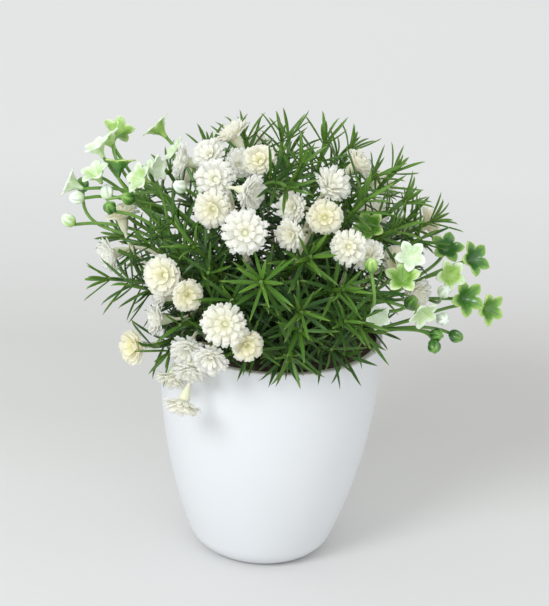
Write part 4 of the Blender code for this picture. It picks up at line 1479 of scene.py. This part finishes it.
def closeRings(bm, layers, head, shade, rows, ends):
    # joins the rings, and closes both ends at a pole of the given level, edge and outside
    turns = [(i, (i + 1) % len(rows[0])) for i in range(len(rows[0]))]
    for low, high in zip(rows, rows[1:]):
        for i, k in turns:
            bm.faces.new((low[i], low[k], high[k], high[i]))
    for first, (level, edge, outside) in zip((True, False), ends):
        row = rows[0] if first else rows[-1]
        pole = bm.verts.new(head["place"] + head["facing"] * level)
        pole[layers["shade"]] = shade
        pole[layers["edge"]] = edge
        pole[layers["outside"]] = outside
        for i, k in turns:
            bm.faces.new((row[k], row[i], pole) if first else (row[i], row[k], pole))


def addStar(bm, layers, head, shade):
    size, mouth, tube = head["size"], star["mouth"], star["tube"]
    stalk, thick = stems["stalk"], starLook["thickness"]
    rows = []

    def addRow(rule, edge, outside):
        rows.append(addRing(bm, layers, head, starLook["steps"], rule, edge=edge, shade=shade,
                            outside=outside))

    def funnel(level, wide, ribs=0.0):
        def rule(angle):
            return wide * (1 + ribs * math.cos(5 * angle + math.pi)), level, lobeShare(angle)
        return rule

    def blade(share, sink):
        # from the mouth, share 0, out to the edge, share 1
        def rule(angle):
            lobe = lobeShare(angle)
            reach = lobeReach(angle, size)
            r = 0.9 * mouth + (max(reach, 1.02 * mouth) - 0.9 * mouth) * share
            out = max(0.0, r - 0.8 * mouth) / (size - 0.8 * mouth)
            lift = star["lobeLift"] * size * (1.25 * out - 0.25 * out * out)
            lift += 0.0007 * (1 - lobe) ** 2 * share
            lift -= 0.0012 * max(0.0, share - 0.6) ** 2 * 5 * lobe
            return r, lift - sink, lobe
        return rule

    tubeRows = ((-tube, stalk, 0.0), (-0.85 * tube, 1.35 * stalk, 0.0),
                (-0.68 * tube, 0.30 * mouth, 0.0), (-0.5 * tube, 0.43 * mouth, 0.05),
                (-0.33 * tube, 0.62 * mouth, 0.1), (-0.19 * tube, 0.84 * mouth, 0.15))
    for level, wide, edge in tubeRows:
        addRow(funnel(level, wide, starLook["ribs"]), edge, 1.0)
    bladeShares = (0.15, 0.4, 0.65, 0.85, 0.96)
    for share in bladeShares:
        addRow(blade(share, thick * (1.15 - 0.3 * share)), share, 1.0)
    addRow(blade(1.0, 0.55 * thick), 1.0, 1.0)
    addRow(blade(1.0, 0.18 * thick), 1.0, 0.0)
    for share in reversed(bladeShares):
        addRow(blade(share, 0.0), share, 0.0)
    for level, wide in ((-0.0010, 0.72), (-0.0021, 0.46), (-0.0029, 0.22)):
        addRow(funnel(level, mouth * wide), 0.0, 0.0)
    closeRings(bm, layers, head, shade, rows, ((-tube, 0.0, 1.0), (starLook["throat"], 0.0, 0.0)))


def addBud(bm, layers, head, shade):
    half, radius, rings = 0.5 * bud["length"], bud["radius"], budLook["rings"]
    rows = []
    for step in range(rings):
        share = (step + 0.5) / rings
        level = -half + 2 * half * share
        body = (budLook["swell"] * radius
                * math.sin(math.pi * min(1.0, share * 0.93 + 0.07)) ** 0.55)

        def rule(angle):
            bulge = abs(math.cos(2.5 * angle + 1.1 * share)) ** 0.7
            fold = 1 - budLook["fold"] * (1 - bulge) * min(1.0, 2.0 * share)
            return body * fold, level, bulge

        rows.append(addRing(bm, layers, head, budLook["steps"], rule, edge=share, shade=shade,
                            outside=1.0))
    closeRings(bm, layers, head, shade, rows,
               ((-half, 0.0, 1.0), (half * budLook["top"], 1.0, 1.0)))


def starMaterial(name, ofBud=False):
    material, board, shader = newMaterial(name, {
        "Coat Roughness": 0.16, "Subsurface Weight": 0.2, "Subsurface Scale": 0.002,
        "Subsurface Radius": (0.7, 1.0, 0.5)})
    edge, shade = board.attribute("edge"), board.attribute("shade")
    lobe, outside = board.attribute("lobe"), board.attribute("outside")
    patches = board.noise(260.0, 3.0, 0.6)
    if ofBud:
        green = shade + (0.45 - edge) * 0.5 + (1 - lobe) * 0.1 + (patches - 0.5) * 0.3
        rim = (1 - lobe.within(0.0, 0.25)) * (1 - shade) * edge * 0.4
    else:
        deep = (1 - edge.within(0.0, 0.75)) * (0.1 + shade * 0.2)
        vein = lobe.within(0.8, 1.0) * (1 - edge) * 0.12
        green = (shade + deep + vein + outside * 0.12 + (patches - 0.5) * 0.45
                 - edge.within(0.6, 1.0) * 0.14)
        rim = edge.within(0.8, 1.0) * (0.1 + shade * 0.5)
    base = board.ramp(green, [(0.0, color(236, 245, 234)), (0.28, color(218, 236, 204)),
                              (0.52, color(172, 206, 112)), (0.76, color(108, 158, 60)),
                              (1.0, color(58, 110, 40))])
    base = board.mix(rim, base, color(196, 214, 112))
    feed(board, shader, baseColor=base, roughness=0.28 + patches * 0.14,
         coat=0.25 + shade * 0.3, normal=board.bump(board.noise(700.0, 2.0, 0.5), 0.15, 0.0002))
    return material


def makeHeads(name, kind, addShape, material):
    bm = bmesh.new()
    layers = {key: bm.verts.layers.float.new(key) for key in ("edge", "shade", "outside", "lobe")}
    count = 0
    for bunch, shades in zip(bunches[len(sprays):], starLook["shades"]):
        for head, shade in zip(bunch["heads"], shades):
            if head["kind"] == kind:
                addShape(bm, layers, head, shade)
                count += 1
    print(name, count)
    return finishPiece(name, closeMesh(bm, name, smooth=True), material)


starStalkLook = {
    "name": "starStalkPlastic", "shader": {"Coat Roughness": 0.22}, "foot": color(66, 116, 44),
    "tip": color(132, 176, 78), "patch": color(96, 148, 54), "patchScale": 70.0,
    "patchFrom": 0.4, "patchTo": 0.7, "patchShare": 0.55, "rough": (0.3, 0.15),
    "coat": (0.25, 0.1), "grain": 1000.0, "bump": 0.2,
}


def makeStarStalks():
    funnels = {"star": [(-0.0060, 0.0009)], "bud": [(-0.0030, 0.0011)]}
    paths = bunchPaths(bunches[len(sprays):], stems["star"], funnels)
    return runTree("starStalks", pathMesh("starPaths", paths), skinPaths,
                   {"Sides": 12, "Thickness": 1.0, "Finish": stalkMaterial(starStalkLook)})


starFlowers = makeHeads("starFlowers", "star", addStar, starMaterial("starPlastic"))
starBuds = makeHeads("starBuds", "bud", addBud, starMaterial("budPlastic", ofBud=True))
starStalks = makeStarStalks()
handOver(starFlowers, [f"star_sprig_{i + 1:02d}" for i in range(len(sprigs))], "star")
handOver(starBuds, [], "star")
handOver(starStalks, [], "star")


# Floor, light and camera

stage = {
    "floor": 8.0, "sky": color(229, 230, 231), "skyPower": 1.05,
    # painted shade and light on the paper, from 0.1 in front of the pot to 0.9 behind it: a darker band just behind
    # the pot and lighter paper further back, standing in for the shading of a backdrop sweep
    "paper": [(0.04, color(219, 219, 218)), (0.14, color(217, 217, 215)),
              (0.23, color(209, 209, 206)), (0.32, color(207, 207, 204)),
              (0.44, color(217, 217, 215)), (0.62, color(227, 228, 226)),
              (1.0, color(232, 232, 231))],
    "key": {"place": (-1.05, -1.5, 1.4), "size": 0.8, "power": 23.0, "tone": (0.94, 0.97, 1.0)},
    "front": {"place": (0.3, -1.9, 1.2), "size": 1.8, "power": 5.5, "tone": (1.0, 0.99, 0.97)},
}


def makeStage():
    bm = bmesh.new()
    half = stage["floor"] / 2
    corners = ((-1, -1), (1, -1), (1, 1), (-1, 1))
    bm.faces.new([bm.verts.new((x * half, y * half, 0.0)) for x, y in corners])
    mesh = closeMesh(bm, "floor")
    material, board, shader = newMaterial("paper", {"Roughness": 0.9, "Specular IOR Level": 0.1})
    depth = board.add("ShaderNodeSeparateXYZ", {}, {0: board.place()}, 1)
    # painted shade and light: the paper's colour follows how far behind the pot it lies
    feed(board, shader, baseColor=board.ramp(depth + 0.1, stage["paper"]))
    mesh.materials.append(material)
    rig.stage(addObject("floor", mesh))
    world = bpy.data.worlds.new("studio")
    bpy.context.scene.world = world
    world.use_nodes = True
    sky = world.node_tree.nodes["Background"]
    sky.inputs["Color"].default_value = stage["sky"]
    sky.inputs["Strength"].default_value = stage["skyPower"]
    for name in ("key", "front"):
        lamp = stage[name]
        light = bpy.data.lights.new(name, "AREA")
        light.shape = "DISK"
        light.size = lamp["size"]
        light.energy = lamp["power"]
        light.color = lamp["tone"]
        thing = addObject(name, light)
        thing.location = lamp["place"]
        thing.rotation_mode = "QUATERNION"
        aim = Vector((0.0, 0.0, 0.1)) - Vector(lamp["place"])
        thing.rotation_quaternion = aim.to_track_quat("-Z", "Y")


camera = {"lens": 159.03, "sensor": 36.0, "distance": 1.2, "pitch": 22.19, "roll": 3.621,
          "target": (0.000233, 0.0, 0.118543)}


def makeCamera():
    pitch, roll = math.radians(camera["pitch"]), math.radians(camera["roll"])
    ahead = Vector((0.0, math.cos(pitch), -math.sin(pitch)))
    right = Vector((1.0, 0.0, 0.0))
    above = right.cross(ahead)
    turnedRight = around(right, above, roll)
    turnedUp = above * math.cos(roll) - right * math.sin(roll)
    data = bpy.data.cameras.new("camera")
    data.lens = camera["lens"]
    data.sensor_width = camera["sensor"]
    data.clip_start, data.clip_end = 0.05, 50.0
    thing = addObject("camera", data)
    matrix = thing.matrix_world.copy()
    for column, axis in enumerate((turnedRight, turnedUp, -ahead)):
        for line in range(3):
            matrix[line][column] = axis[line]
    matrix.translation = Vector(camera["target"]) - ahead * camera["distance"]
    thing.matrix_world = matrix
    bpy.context.scene.camera = thing


makeStage()
makeCamera()
bpy.context.scene.view_settings.view_transform = "Standard"
bpy.context.scene.view_settings.look = "None"
print("stage ready")

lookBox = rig.bounds()
with open("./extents.json", "w") as report:
    json.dump({"cad": [list(corner) for corner in solidBox],
               "visual": [list(corner) for corner in lookBox]}, report)
